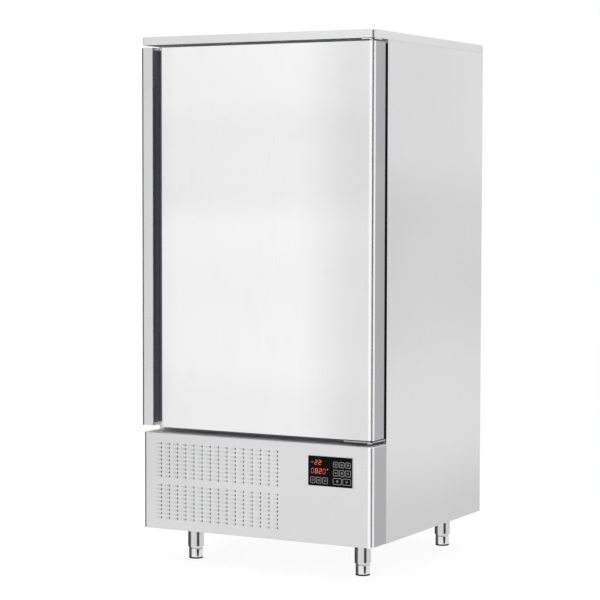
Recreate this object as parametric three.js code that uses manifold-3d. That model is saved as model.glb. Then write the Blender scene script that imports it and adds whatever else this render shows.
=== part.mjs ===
// Reach-in blast chiller: an insulated cabinet over a compressor compartment, on four screw-out legs.
// Millimetres, +Z up. The origin is on the floor, at the middle of the overall box. -Y is the door side.
import * as THREE from "three";
import { mergeVertices } from "three/addons/utils/BufferGeometryUtils.js";
import Module from "manifold-3d";

const wasm = await Module();
wasm.setup();

// ---------------------------------------------------------------- driving dimensions

// Cabinet
const cabinetWidth = 800;
const cabinetDepth = 808; // door face to back
const cabinetHeight = 1645; // floor to the top of the cover
const legHeight = 112; // floor to the underside of the cabinet
const lowerPanelHeight = 302;
const coverHeight = 25; // lip of the top cover
const skin = 1; // outer and inner sheet
const deckSheet = 1.5; // base pan and compartment deck
const sideWall = 60; // insulated side wall, skins included
const backWall = 60;
const seat = 0.3; // gap between pieces that rest on or in each other
const edgeRadius = 15; // folded right front corners
const endRadius = 10; // left front corner of the lower panel
const coverEndRadius = 3; // left front corner of the cover
const rearFlange = 20; // inward return of a side panel at the back
const rearRadius = 2.5;
const baseEdge = 30; // upturned edge of the base pan
const deckEdge = 50; // downturned edge of the compartment deck
const frameThickness = 3;
const cutPast = 1; // a cutter reaches this far past the face that it cuts
const weldSink = 1; // pieces that are welded together run this far into each other
const weldDistance = 1e-4; // corners of a mesh this close are one

// Door
const doorThickness = 76;
const gasketRoom = 18; // back of the door to the face frame
const doorTopGap = 9;
const doorBottomGap = 19;
const doorCapThickness = 10;
const gasketInset = 22; // door edge to the gasket
const gasketWidth = 18;
const gasketBase = 6; // depth of the narrow foot of the gasket
const gasketFootWidth = 10;
const openingMargin = 6; // gasket to the chamber opening
const plugInset = 15; // gasket to the raised middle of the door's inner skin
const plugRise = 12;

// Full-height handle: a groove, and beside it a strip that stands proud of the door
const stripWidth = 43;
const stripProud = 12;
const stripShort = 4; // its lower end stops above the end of the door
const stripRadius = 10;
const grooveWidth = 23;
const grooveDepth = 30;
const grooveRadius = 3;
const gripThickness = 1.5;
const gripSetback = 2; // edge of the grip lining to the edge of the groove
const gripEndTop = 7; // bare groove above the lining
const gripEndBottom = 13;

// Hinges
const pivotInset = 20; // pin axis to the door's face and to its side
const hingePlate = 5;
const plateRadius = 20;
const plateEndRadius = 4;
const hingeDrop = 4; // top hinge plate's underside to its upper face's seat
const topPlateLength = 46;
const topNotchWidth = 22; // rear outer corner cut out of the top plate
const topNotchDepth = 38;
const bottomPlateLength = 100;
const bottomPlateHeight = 11; // lower panel to the underside of the bottom plate
const hingeSetback = 5; // door face to the front edge of a hinge plate
const topLeg = 22; // upright leg of the top hinge
const bottomLeg = 44;
const pinRadius = 6;
const pinHead = 3;
const pinHeadRadius = 9;
const pinReach = 25; // length of pin inside the door
const bushRadius = 10;
const bushLength = 30;
const runningGap = 0.3; // radial gap of pins, shafts and screws

// Vents of the lower front panel: two blocks of small horizontal slots
const slotWidth = 22;
const slotHeight = 6.5;
const slotPitchX = 29.6;
const slotPitchZ = 12.75;
const slotColumns = 15;
const slotRows = 9;
const slotMarginX = 45; // panel's left edge to the first slot
const slotBlockLow = 36; // panel's underside to the lowest row of the lower block
const slotBlockStep = 131; // lowest row of one block to that of the next
const flangeShort = 8; // flanges stop this far before the carcass

// Controls
const overlayWidth = 151;
const overlayHeight = 92.5;
const overlayThickness = 1.2;
const overlayInsetX = 140; // panel's right edge to the middle of the overlay
const overlayCentreZ = 221; // above the underside of the panel
const windowMargin = 10; // overlay's edge to the window behind it
const controlBoxMargin = 11;
const controlBoxDepth = 60;
const boxVents = 6;
const boxVentWidth = 3;
const boxVentPitch = 20;
const boxVentDepth = 2;

// Legs
const legInsetX = 103; // leg axis to the side of the cabinet
const legInsetFront = 52; // leg axis to the front of the carcass
const legInsetBack = 73;
const legRadius = 25.4;
const legWall = 1.5;
const legFlangeRadius = 40;
const legFlange = 4;
const legNose = 7; // length of the taper at the bottom of the tube
const footRadius = 22.2;
const footExposed = 33; // floor to the bottom of the tube
const padThickness = 4;
const padRadius = 22.6;
const screwRadius = 8;
const screwLength = 60;
const insertLength = 25; // threaded insert in the tube
const footChamfer = 1;
const footEdge = 2; // pad to the top of the foot's chamfer
const padEdge = 1.5;

// Tray racks
const rackRoom = 37; // chamber wall to the runners, which leaves 606 mm for trays 600 mm wide
const trayPitch = 70;
const firstTray = 70; // chamber floor to the lowest runner
const trayHeadroom = 100; // topmost runner to the chamber ceiling, at least
const runnerLedge = 18;
const runnerFlange = 15;
const runnerSheet = 1.5;
const runnerEnd = 24; // runners to the fan panel
const rackSetback = 20; // face frame to the front of the racks
const postWidth = 30;
const postInset = 40; // end of a runner to its post

// Evaporator and its fans
const evaporatorRoom = 190; // fan panel to the chamber's back wall
const fanPanelGap = 30; // chamber wall to the sides of the fan panel
const fanPanelFlange = 25;
const coilSideGap = 60; // chamber wall to the coil
const coilTopGap = 86;
const coilDepth = 105;
const coilLow = 60; // chamber floor to the coil
const coilFins = 16;
const finGroove = 8; // depth of the gaps between the fins
const bendCount = 3; // return bends on one side
const bendRadius = 18;
const bendTube = 5;
const bendCorner = 17; // radius at the corners of a bend, just under its own
const bendRoot = 2; // length of a bend inside the fins
const stubLength = 20; // coil's own pipe ends
const stubRoot = 2; // length of a pipe end inside what it stands on
const suctionStub = 250; // coil's bottom to its suction end
const liquidStub = 130;
const lineStep = 1; // a line is this much thinner than the end it meets
const pipeBendSteps = 3;
const pipeBend = 10;
const evaporatorFanRadius = 148;
const fanStepLess = 19; // the fans stand this much closer than half the height of the chamber
const dripPanGap = 55; // chamber wall to the drip pan
const dripPanHeight = 26;
const dripPanSetback = 32; // fan panel to the drip pan

// Fans in general
const tipGap = 7; // blade tips to the ring they turn in
const hubRadius = 46;
const hubLength = 28;
const hubStart = 2; // panel to the hub
const bladeCount = 5;
const bladeChord = 66;
const bladeThickness = 2.5;
const bladeRoot = 6; // length of a blade inside the hub
const bladeRootChord = 0.62; // share of the chord at the tip
const bladeRootPitch = 35; // degrees
const bladeTipPitch = 22.4;
const shaftRadius = 4;
const shaftSetback = 2; // hub's front to the end of the shaft
const motorRadius = 44;
const motorLength = 32;
const armPlane = 36; // panel to the arms that carry the motor
const armThickness = 3;
const armWidth = 14;
const armOver = 12; // arms reach past the fan's opening
const guardGap = 9; // panel to the back of the guard
const guardWire = 3;
const guardRings = 3;
const guardSpoke = 5;
const guardStep = 1; // rings stand this far in front of the spokes

// Condensing unit
const condenserWidth = 430;
const condenserHeight = 280;
const condenserDepth = 60;
const condenserSetback = 6; // carcass front to the condenser
const condenserFins = 16;
const shroudDepth = 40;
const condenserFanRadius = 118;
const compressorRadius = 92;
const compressorHeight = 190;
const compressorInsetX = 168; // compressor's axis to the side of the cabinet
const compressorInsetY = 220; // and to its back
const compressorPlate = 4;
const shellFoot = 12; // chamfer round the shell's bottom
const shellDome = [
  [0, 60], // inwards from the side, down from the top
  [10, 28],
  [36, 8],
];
const portSpacing = 50; // compressor's axis to its suction and discharge ports
const portLength = 12;
const portRoot = 40;
const grommetRadius = 14;
const grommetHeight = 14;
const grommetSpacingX = 150;
const grommetSpacingY = 110;
const receiverRadius = 38;
const receiverHeight = 190;
const receiverGap = 65; // condenser to the receiver's axis
const receiverSetback = 94; // carcass front to the receiver's axis
const receiverFoot = 8;
const receiverFootRise = 10;
const receiverShoulder = 14;
const outletLength = 12;
const suctionRadius = 8;
const liquidRadius = 5;
const dischargeRadius = 6;
const riserInset = 28; // chamber's right wall to the lines that pass through its floor
const suctionInset = 50; // chamber's back wall to the suction line
const liquidInset = 88;
const drierRadius = 16;
const drierLength = 90;
const drierInset = 55; // side of the cabinet to the drier's axis
const drierSetback = 244; // carcass front to the drier
const liquidRise = 12; // condenser bottom to its outlet
const suctionDrop = 20; // deck to the run of the suction line
const hotGasRun = 30; // deck to the run of the discharge line
const liquidRun = 49;
const drainRadius = 11;
const drainWall = 1.5;
const drainInsetX = 170; // left side of the cabinet to the drain
const drainInsetY = 50; // chamber's back wall to the drain
const condensateLeft = 60; // drain to the edges of the condensate tray
const condensateRight = 120;
const condensateFront = 130;
const condensateBack = 70;
const condensateHeight = 36;
const glandInsetX = 200; // cable gland to the side of the cabinet
const glandInsetY = 80; // and to its back
const glandRadius = 11;
const glandBore = 5;
const glandNose = 22; // base pan's underside to the gland's mouth
const glandNoseLip = 2;
const glandNut = 4; // width of its nuts past the thread
const glandNutHeight = 8;
const glandNutInside = 7;

// Back panel vents
const backSlotWidth = 84;
const backSlotHeight = 8;
const backSlotColumns = 4;
const backSlotRows = 5;
const backSlotPitchX = 110;
const backSlotPitchZ = 30;
const backSlotLow = 60; // underside of the cabinet to the lowest row

// Sides of the round solids
const roundSides = 16;
const turnedSides = 18;
const pipeSides = 12;
const openingSides = 32;
const sweepSides = 36;
const hubSides = 20;
const guardSides = 18;
const shroudSides = 28;
const compressorSides = 20;
const receiverSides = 14;
const suctionSides = 8;
const lineSides = 6;
const grommetSides = 8;

// ---------------------------------------------------------------- places worked out from them

const halfWidth = cabinetWidth / 2;
const doorFace = stripProud - (cabinetDepth + stripProud) / 2;
const back = doorFace + cabinetDepth;
const doorBack = doorFace + doorThickness;
const carcassFront = doorBack + gasketRoom;
const panelTop = legHeight + lowerPanelHeight;
const coverBottom = cabinetHeight - coverHeight;
const doorBottom = panelTop + doorBottomGap;
const doorTop = coverBottom - doorTopGap;
const insideSkin = halfWidth - skin - seat; // what fits between the side panels
const backPanelInner = back - 2 * skin - seat;
const foamBack = backPanelInner - seat;
const openingInset = gasketInset + gasketWidth + openingMargin;
const chamberHalf = halfWidth - sideWall;
const chamberFloor = doorBottom + openingInset;
const chamberCeiling = doorTop - openingInset;
const chamberHeight = chamberCeiling - chamberFloor;
const chamberBack = back - backWall;
const frameTop = cabinetHeight - skin - seat;
const foamFront = carcassFront + frameThickness + seat;
const pivotX = halfWidth - pivotInset;
const pivotY = doorFace + pivotInset;
const baseTop = legHeight + deckSheet;
const deckBottom = panelTop - deckSheet;
const fanPanelFront = chamberBack - evaporatorRoom;
const fanPanelBack = fanPanelFront + skin;
const fanPanelWidth = 2 * (chamberHalf - fanPanelGap);
const evaporatorFanStep = chamberHeight / 2 - fanStepLess;
const evaporatorFanLow = (chamberHeight - evaporatorFanStep) / 2;
const coilWidth = 2 * (chamberHalf - coilSideGap);
const coilHeight = chamberHeight - coilLow - coilTopGap;
const coilFront = chamberBack - seat - coilDepth;
const coilBottom = chamberFloor + coilLow;
const suctionStubHeight = coilBottom + suctionStub;
const liquidStubHeight = coilBottom + liquidStub;
const dripPanWidth = 2 * (chamberHalf - dripPanGap);
const riserX = chamberHalf - riserInset;
const suctionY = chamberBack - suctionInset;
const liquidY = chamberBack - liquidInset;
const drainX = -halfWidth + drainInsetX;
const drainY = chamberBack - drainInsetY;
const glandX = halfWidth - glandInsetX;
const glandY = back - glandInsetY;
const overlayCentreX = halfWidth - overlayInsetX;
const slotLeft = -halfWidth + slotMarginX;
const condenserLeft = slotLeft;
const condenserRight = condenserLeft + condenserWidth;
const condenserFront = carcassFront + condenserSetback;
const condenserBack = condenserFront + condenserDepth;
const condenserTop = baseTop + seat + condenserHeight;
const shroudFront = condenserBack + seat;
const shroudBack = shroudFront + shroudDepth;
const rackClear = 2 * (chamberHalf - rackRoom);
const rackFront = carcassFront + rackSetback;
const runnerLength = fanPanelFront - runnerEnd - rackFront;
const trayLevels = 1 + Math.floor((chamberHeight - firstTray - trayHeadroom) / trayPitch);
const compressorX = halfWidth - compressorInsetX;
const compressorY = back - compressorInsetY;
const compressorTop = baseTop + seat + grommetHeight + compressorPlate + compressorHeight;
const compressorPortHeight = compressorTop + portLength;
const receiverX = condenserRight + receiverGap;
const receiverY = carcassFront + receiverSetback;
const drierX = halfWidth - drierInset;
const drierY = carcassFront + drierSetback;

// ---------------------------------------------------------------- materials

const finish = (colour, roughness, metalness) =>
  new THREE.MeshStandardMaterial({ color: colour, roughness, metalness });
const brushedSteel = finish(0xd9dadb, 0.34, 1);
const brightSteel = finish(0xd0d2d4, 0.2, 1);
const galvanised = finish(0xb4b8bb, 0.45, 0.9);
const foamYellow = finish(0xe2cf97, 0.95, 0);
const gripGrey = finish(0x3a3a3f, 0.5, 0);
const gasketGrey = finish(0x26262a, 0.75, 0);
const capGrey = finish(0xc6c8ca, 0.55, 0);
const frameGrey = finish(0x9a9da0, 0.4, 0.9);
const blackPlastic = finish(0x17181a, 0.45, 0);
const glossBlack = finish(0x08080a, 0.15, 0);
const blackRubber = finish(0x141414, 0.85, 0);
const copper = finish(0xb5714a, 0.35, 1);
const finAluminium = finish(0xc9ccce, 0.4, 1);
const compressorBlack = finish(0x1b1c1e, 0.4, 0.3);

// ---------------------------------------------------------------- solids

/** A manifold-3d solid of a closed three.js geometry. */
function solid(geometry) {
  const bare = geometry.clone();
  bare.deleteAttribute("normal");
  bare.deleteAttribute("uv");
  const merged = mergeVertices(bare, weldDistance);
  const index = merged.index.array;
  const triangles = [];
  for (let i = 0; i < index.length; i += 3) {
    const [a, b, c] = [index[i], index[i + 1], index[i + 2]];
    if (a !== b && b !== c && c !== a) triangles.push(a, b, c);
  }
  return new wasm.Manifold(
    new wasm.Mesh({
      numProp: 3,
      vertProperties: merged.attributes.position.array,
      triVerts: new Uint32Array(triangles),
    }),
  );
}

/** A box between two corners. */
function block([x0, y0, z0], [x1, y1, z1]) {
  const box = new THREE.BoxGeometry(x1 - x0, y1 - y0, z1 - z0);
  box.translate((x0 + x1) / 2, (y0 + y1) / 2, (z0 + z1) / 2);
  return solid(box);
}

/** An outline pushed along an axis. It is given in (x, y) for "z", (y, z) for "x" and (x, z) for "y". */
function prism(outline, axis, from, to, holes = []) {
  const flat = ([u, v]) => (axis === "y" ? new THREE.Vector2(v, u) : new THREE.Vector2(u, v));
  const contour = outline.map(flat);
  if (THREE.ShapeUtils.isClockWise(contour)) contour.reverse();
  const shape = new THREE.Shape(contour);
  shape.holes = holes.map((hole) => new THREE.Path(hole.map(flat)));
  const geometry = new THREE.ExtrudeGeometry(shape, {
    depth: to - from,
    steps: 1,
    bevelEnabled: false,
  });
  geometry.translate(0, 0, from);
  const turn = new THREE.Matrix4();
  if (axis === "x") turn.set(0, 0, 1, 0, 1, 0, 0, 0, 0, 1, 0, 0, 0, 0, 0, 1);
  if (axis === "y") turn.set(0, 1, 0, 0, 0, 0, 1, 0, 1, 0, 0, 0, 0, 0, 0, 1);
  return solid(geometry.applyMatrix4(turn));
}

const rectangle = (u0, u1, v0, v1) => [
  [u0, v0],
  [u1, v0],
  [u1, v1],
  [u0, v1],
];

function circle(u, v, radius, sides = roundSides) {
  const points = [];
  for (let i = 0; i < sides; i++) {
    const angle = (2 * Math.PI * i) / sides;
    points.push([u + radius * Math.cos(angle), v + radius * Math.sin(angle)]);
  }
  return points;
}

/** A round bar along an axis: centre in the plane across it, in the order that prism takes. */
const rod = (u, v, radius, axis, from, to, sides = roundSides) =>
  prism(circle(u, v, radius, sides), axis, from, to);

/** A solid of revolution about the vertical through (x, y). The profile is (radius, height) and closed. */
function turned(profile, x, y, segments = turnedSides) {
  const closed = [...profile, profile[0]].map(([r, z]) => new THREE.Vector2(r, z));
  const lathe = new THREE.LatheGeometry(closed, segments);
  lathe.rotateX(Math.PI / 2);
  lathe.translate(x, y, 0);
  return solid(lathe);
}

/** Points and right-hand normals along a path whose corners are rounded by the given radii. */
function rounded(path, radii, steps = 4) {
  const out = [];
  const unit = (a, b) => {
    const length = Math.hypot(b[0] - a[0], b[1] - a[1]);
    return [(b[0] - a[0]) / length, (b[1] - a[1]) / length];
  };
  const right = ([dx, dy]) => [dy, -dx];
  for (let i = 0; i < path.length; i++) {
    if (i === 0 || i === path.length - 1) {
      const along = i === 0 ? unit(path[0], path[1]) : unit(path[i - 1], path[i]);
      out.push({ at: path[i], normal: right(along) });
      continue;
    }
    const before = unit(path[i - 1], path[i]);
    const after = unit(path[i], path[i + 1]);
    const radius = radii[i - 1];
    const turn = before[0] * after[1] - before[1] * after[0] > 0 ? 1 : -1;
    const start = right(before);
    const centre = [
      path[i][0] - before[0] * radius - turn * start[0] * radius,
      path[i][1] - before[1] * radius - turn * start[1] * radius,
    ];
    for (let k = 0; k <= steps; k++) {
      const angle = (turn * k * Math.PI) / 2 / steps;
      const normal = [
        start[0] * Math.cos(angle) - start[1] * Math.sin(angle),
        start[0] * Math.sin(angle) + start[1] * Math.cos(angle),
      ];
      out.push({
        at: [centre[0] + turn * normal[0] * radius, centre[1] + turn * normal[1] * radius],
        normal,
      });
    }
  }
  return out;
}

/** The path moved towards its right-hand side. */
const offset = (points, distance) =>
  points.map(({ at, normal }) => [at[0] + normal[0] * distance, at[1] + normal[1] * distance]);

/** The outline of a folded sheet whose outer face is the path. */
const sheetOutline = (points, thickness) => [
  ...offset(points, 0),
  ...offset(points, thickness).reverse(),
];

/** A tray with an open side: a box less a smaller box. */
function tray([x0, y0, z0], [x1, y1, z1], wall, open) {
  const low = [x0 + wall, y0 + wall, z0 + wall];
  const high = [x1 - wall, y1 - wall, z1 - wall];
  const past = wall + cutPast;
  if (open === "top") high[2] = z1 + past;
  if (open === "bottom") low[2] = z0 - past;
  if (open === "front") low[1] = y0 - past;
  if (open === "back") high[1] = y1 + past;
  return block([x0, y0, z0], [x1, y1, z1]).subtract(block(low, high));
}

const join = (...parts) => parts.reduce((a, b) => a.add(b));

const group = new THREE.Group();

/** Adds a solid to the part as a named mesh. */
function addPiece(name, made, material) {
  const mesh = made.getMesh();
  const geometry = new THREE.BufferGeometry();
  geometry.setAttribute("position", new THREE.BufferAttribute(mesh.vertProperties, 3));
  geometry.setIndex(new THREE.BufferAttribute(mesh.triVerts, 1));
  geometry.computeVertexNormals();
  const piece = new THREE.Mesh(geometry, material);
  piece.name = name;
  group.add(piece);
}

// ---------------------------------------------------------------- carcass

/** Holes that the drain and the refrigerant lines take through the chamber floor. */
function floorHoles(low, high) {
  return join(
    rod(drainX, drainY, drainRadius + seat, "z", low, high),
    rod(riserX, suctionY, suctionRadius + seat, "z", low, high),
    rod(riserX, liquidY, liquidRadius + seat, "z", low, high),
  );
}

function addCarcass() {
  const pastSheet = 2 * cutPast;

  // Base pan, with the cable gland's hole
  const pan = tray(
    [-insideSkin, carcassFront, legHeight],
    [insideSkin, foamBack, legHeight + baseEdge],
    deckSheet,
    "top",
  ).subtract(
    rod(glandX, glandY, glandRadius + seat, "z", legHeight - pastSheet, baseTop + pastSheet),
  );
  addPiece("base_pan", pan, galvanised);

  // Side panels: the outer skin and its return at the back
  for (const [side, sign] of [
    ["left", -1],
    ["right", 1],
  ]) {
    const outer = sign * halfWidth;
    const path = [
      [outer, carcassFront],
      [outer, back],
      [outer - sign * rearFlange, back],
    ];
    const points = rounded(path, [rearRadius], 3);
    const inward = -sign * skin;
    const outline = [...offset(points, 0), ...offset(points, inward).reverse()];
    addPiece(
      `side_panel_${side}`,
      prism(outline, "z", legHeight, coverBottom - seat),
      brushedSteel,
    );
  }

  // Back panel, with the vents of the compressor compartment
  const slots = [];
  for (let i = 0; i < backSlotColumns; i++) {
    for (let k = 0; k < backSlotRows; k++) {
      const x = (i - (backSlotColumns - 1) / 2) * backSlotPitchX;
      const z = legHeight + backSlotLow + k * backSlotPitchZ;
      slots.push(
        block(
          [x - backSlotWidth / 2, backPanelInner - pastSheet, z],
          [x + backSlotWidth / 2, backPanelInner + skin + pastSheet, z + backSlotHeight],
        ),
      );
    }
  }
  addPiece(
    "back_panel",
    block(
      [-insideSkin + rearRadius, backPanelInner, legHeight],
      [insideSkin - rearRadius, backPanelInner + skin, coverBottom - seat],
    ).subtract(wasm.Manifold.union(slots)),
    galvanised,
  );

  // Deck between the compartment and the insulated chamber
  const deck = tray(
    [-insideSkin, carcassFront, panelTop - deckEdge],
    [insideSkin, foamBack, panelTop],
    deckSheet,
    "bottom",
  ).subtract(floorHoles(deckBottom - pastSheet, panelTop + pastSheet));
  addPiece("compartment_deck", deck, galvanised);

  // Face frame, which the gasket closes on
  addPiece(
    "face_frame",
    prism(
      rectangle(-insideSkin, insideSkin, panelTop + seat, frameTop),
      "y",
      carcassFront,
      carcassFront + frameThickness,
      [rectangle(-chamberHalf, chamberHalf, chamberFloor, chamberCeiling)],
    ),
    frameGrey,
  );

  // Foam between the skins, and the chamber's inner skin
  const linerOut = skin + seat;
  const foam = block([-insideSkin, foamFront, panelTop + seat], [insideSkin, foamBack, frameTop])
    .subtract(
      block(
        [-chamberHalf - linerOut, foamFront - pastSheet, chamberFloor - linerOut],
        [chamberHalf + linerOut, chamberBack + linerOut, chamberCeiling + linerOut],
      ),
    )
    .subtract(floorHoles(panelTop - pastSheet, chamberFloor + pastSheet));
  addPiece("insulation_foam", foam, foamYellow);

  const liner = tray(
    [-chamberHalf - skin, foamFront, chamberFloor - skin],
    [chamberHalf + skin, chamberBack + skin, chamberCeiling + skin],
    skin,
    "front",
  ).subtract(floorHoles(chamberFloor - skin - pastSheet, chamberFloor + pastSheet));
  addPiece("chamber_liner", liner, brushedSteel);

  // Top cover: a folded tray, open below, whose front corners are bent round
  const coverPath = [
    [halfWidth, back],
    [halfWidth, doorFace],
    [-halfWidth, doorFace],
    [-halfWidth, back],
  ];
  const coverEdge = rounded(coverPath, [edgeRadius, coverEndRadius]);
  const cover = prism(offset(coverEdge, 0), "z", coverBottom, cabinetHeight).subtract(
    prism(
      [
        [-halfWidth + skin, back - skin],
        [halfWidth - skin, back - skin],
        ...offset(coverEdge, skin).slice(1, -1),
      ],
      "z",
      coverBottom - pastSheet,
      cabinetHeight - skin,
    ),
  );
  addPiece("top_cover", cover, brushedSteel);
}

// ---------------------------------------------------------------- lower front panel and controls

function addFrontPanel() {
  const panelBack = carcassFront - seat;
  const path = [
    [halfWidth, panelBack],
    [halfWidth, doorFace],
    [-halfWidth, doorFace],
    [-halfWidth, panelBack],
  ];
  const edge = rounded(path, [edgeRadius, endRadius]);
  const wrap = prism(sheetOutline(edge, skin), "z", legHeight, panelTop);
  const within = offset(edge, skin / 2).slice(1, -1);
  const flange = (depth, low) =>
    prism(
      [
        [-halfWidth + skin / 2, doorFace + depth],
        [halfWidth - skin / 2, doorFace + depth],
        ...within,
      ],
      "z",
      low,
      low + skin,
    );
  const flangeDepth = panelBack - doorFace - flangeShort;

  const cuts = [];
  const front = doorFace - skin;
  const behind = doorFace + 2 * skin;
  for (let half = 0; half < 2; half++) {
    for (let row = 0; row < slotRows; row++) {
      const z = legHeight + slotBlockLow + half * slotBlockStep + row * slotPitchZ;
      for (let column = 0; column < slotColumns; column++) {
        const x = slotLeft + column * slotPitchX;
        cuts.push(
          rectangle(x, x + slotWidth, z - slotHeight / 2, z + slotHeight / 2),
        );
      }
    }
  }
  const displayWindow = rectangle(
    overlayCentreX - overlayWidth / 2 + windowMargin,
    overlayCentreX + overlayWidth / 2 - windowMargin,
    legHeight + overlayCentreZ - overlayHeight / 2 + windowMargin,
    legHeight + overlayCentreZ + overlayHeight / 2 - windowMargin,
  );
  const openings = [...cuts, displayWindow].map((outline) => prism(outline, "y", front, behind));
  const body = join(wrap, flange(flangeDepth, panelTop - skin), flange(flangeDepth, legHeight));
  addPiece("front_panel", body.subtract(wasm.Manifold.union(openings)), brushedSteel);

  // Membrane keypad and display, stuck on the panel
  const overlayLow = legHeight + overlayCentreZ - overlayHeight / 2;
  addPiece(
    "control_overlay",
    block(
      [overlayCentreX - overlayWidth / 2, doorFace - seat - overlayThickness, overlayLow],
      [overlayCentreX + overlayWidth / 2, doorFace - seat, overlayLow + overlayHeight],
    ),
    glossBlack,
  );

  // Box of the controller and its relays, behind the panel
  const boxFront = doorFace + skin + seat;
  const boxBack = boxFront + controlBoxDepth;
  const vents = [];
  for (let i = 0; i < boxVents; i++) {
    const x = overlayCentreX + (i - (boxVents - 1) / 2) * boxVentPitch;
    vents.push(
      block(
        [x, boxBack - boxVentDepth, overlayLow],
        [x + boxVentWidth, boxBack + cutPast, overlayLow + overlayHeight],
      ),
    );
  }
  addPiece(
    "control_box",
    block(
      [overlayCentreX - overlayWidth / 2 - controlBoxMargin, boxFront, overlayLow - controlBoxMargin],
      [
        overlayCentreX + overlayWidth / 2 + controlBoxMargin,
        boxBack,
        overlayLow + overlayHeight + controlBoxMargin,
      ],
    ).subtract(join(...vents)),
    blackPlastic,
  );
}

// ---------------------------------------------------------------- door

function addDoor() {
  const left = -halfWidth;
  const grooveLeft = left + stripWidth;
  const grooveRight = grooveLeft + grooveWidth;
  const grooveBack = doorFace + grooveDepth;
  const stripFace = doorFace - stripProud;
  const path = [
    [halfWidth, doorBack],
    [halfWidth, doorFace],
    [grooveRight, doorFace],
    [grooveRight, grooveBack],
    [grooveLeft, grooveBack],
    [grooveLeft, stripFace],
    [left, stripFace],
    [left, doorBack],
  ];
  const radii = [edgeRadius, grooveRadius, grooveRadius, grooveRadius, grooveRadius, stripRadius];
  const outside = rounded(path, radii);
  const stripLow = doorBottom + stripShort;
  const belowStrip = block(
    [left - cutPast, stripFace - cutPast, doorBottom - cutPast],
    [grooveLeft, grooveBack, stripLow],
  );

  // Plates of the skin itself close the ends of the handle strip and of the room behind the groove.
  const innerBack = doorBack - skin - seat;
  const handleSide = grooveRight + skin;
  const endPlate = (low, high) =>
    prism(offset(outside, 0), "z", low[2], high[2]).intersect(block(low, high));
  const topPlate = endPlate(
    [left - cutPast, stripFace - cutPast, doorTop - skin],
    [handleSide, innerBack, doorTop],
  );
  const stripPlate = endPlate(
    [left - cutPast, stripFace - cutPast, stripLow],
    [grooveLeft, grooveBack + skin, stripLow + skin],
  );
  const rearPlate = endPlate(
    [left - cutPast, grooveBack, doorBottom],
    [handleSide, innerBack, doorBottom + skin],
  );
  const stripHeel = endPlate(
    [left - cutPast, grooveBack, doorBottom],
    [grooveLeft + grooveRadius, grooveBack + skin, stripLow + skin],
  );
  addPiece(
    "door_skin",
    prism(sheetOutline(outside, skin), "z", doorBottom, doorTop)
      .subtract(belowStrip)
      .add(topPlate)
      .add(stripPlate)
      .add(rearPlate)
      .add(stripHeel),
    brushedSteel,
  );

  // What fills the skin is cut to its inner face. The end caps stop short of the skin's own plates.
  const inner = offset(outside, skin + seat);
  const filling = [
    [-insideSkin, innerBack],
    [insideSkin, innerBack],
    ...inner.slice(1, -1),
  ];
  const pocket = (low, high) => rod(pivotX, pivotY, bushRadius + seat, "z", low, high);
  const fillLow = doorBottom + doorCapThickness;
  const fillHigh = doorTop - doorCapThickness;
  const cap = (from, to) =>
    prism(filling, "z", from, to)
      .subtract(pocket(from - cutPast, to + cutPast))
      .subtract(
        block(
          [left - cutPast, stripFace - cutPast, from - cutPast],
          [handleSide + seat, doorBack + cutPast, to + cutPast],
        ),
      );
  addPiece("door_cap_top", cap(fillHigh, doorTop), capGrey);
  addPiece("door_cap_bottom", cap(doorBottom, fillLow), capGrey);

  // Inner skin with its raised middle, which the foam fills
  const gasketIn = gasketInset + gasketWidth;
  const plugSide = halfWidth - gasketIn - plugInset;
  const plugLow = doorBottom + gasketIn + plugInset;
  const plugHigh = doorTop - gasketIn - plugInset;
  const linerBack = doorBack - skin;
  const plug = (inset, from, to) =>
    block(
      [-plugSide + inset, from, plugLow + inset],
      [plugSide - inset, to, plugHigh - inset],
    );
  addPiece(
    "door_liner",
    block([-insideSkin, linerBack, doorBottom], [insideSkin, doorBack, doorTop])
      .add(plug(0, linerBack, doorBack + plugRise))
      .subtract(plug(skin, linerBack - cutPast, doorBack + plugRise - skin)),
    brushedSteel,
  );
  addPiece(
    "door_foam",
    prism(filling, "z", fillLow + seat, fillHigh - seat)
      .add(plug(skin + seat, innerBack - weldSink, doorBack + plugRise - skin - seat))
      .subtract(pocket(doorTop - bushLength - seat, doorTop))
      .subtract(pocket(doorBottom, doorBottom + bushLength + seat)),
    foamYellow,
  );

  // Magnetic gasket: a narrow foot on the door, and the bulb that meets the face frame
  const ring = (inset, width, from, to) =>
    prism(
      rectangle(-halfWidth + inset, halfWidth - inset, doorBottom + inset, doorTop - inset),
      "y",
      from,
      to,
      [
        rectangle(
          -halfWidth + inset + width,
          halfWidth - inset - width,
          doorBottom + inset + width,
          doorTop - inset - width,
        ),
      ],
    );
  const footInset = gasketInset + (gasketWidth - gasketFootWidth) / 2;
  addPiece(
    "door_gasket",
    ring(footInset, gasketFootWidth, doorBack + seat, doorBack + gasketBase).add(
      ring(gasketInset, gasketWidth, doorBack + gasketBase - seat, carcassFront - seat),
    ),
    gasketGrey,
  );

  // Dark lining of the handle's groove
  const gripPath = [
    [grooveRight - seat, doorFace + grooveRadius + gripSetback],
    [grooveRight - seat, grooveBack - seat],
    [grooveLeft + seat, grooveBack - seat],
    [grooveLeft + seat, stripFace + grooveRadius + gripSetback],
  ];
  const grip = rounded(gripPath, [grooveRadius, grooveRadius]);
  addPiece(
    "handle_grip",
    prism(
      [...offset(grip, 0), ...offset(grip, -gripThickness).reverse()],
      "z",
      doorBottom + gripEndBottom,
      doorTop - gripEndTop,
    ),
    gripGrey,
  );
}

// ---------------------------------------------------------------- hinges

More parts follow.
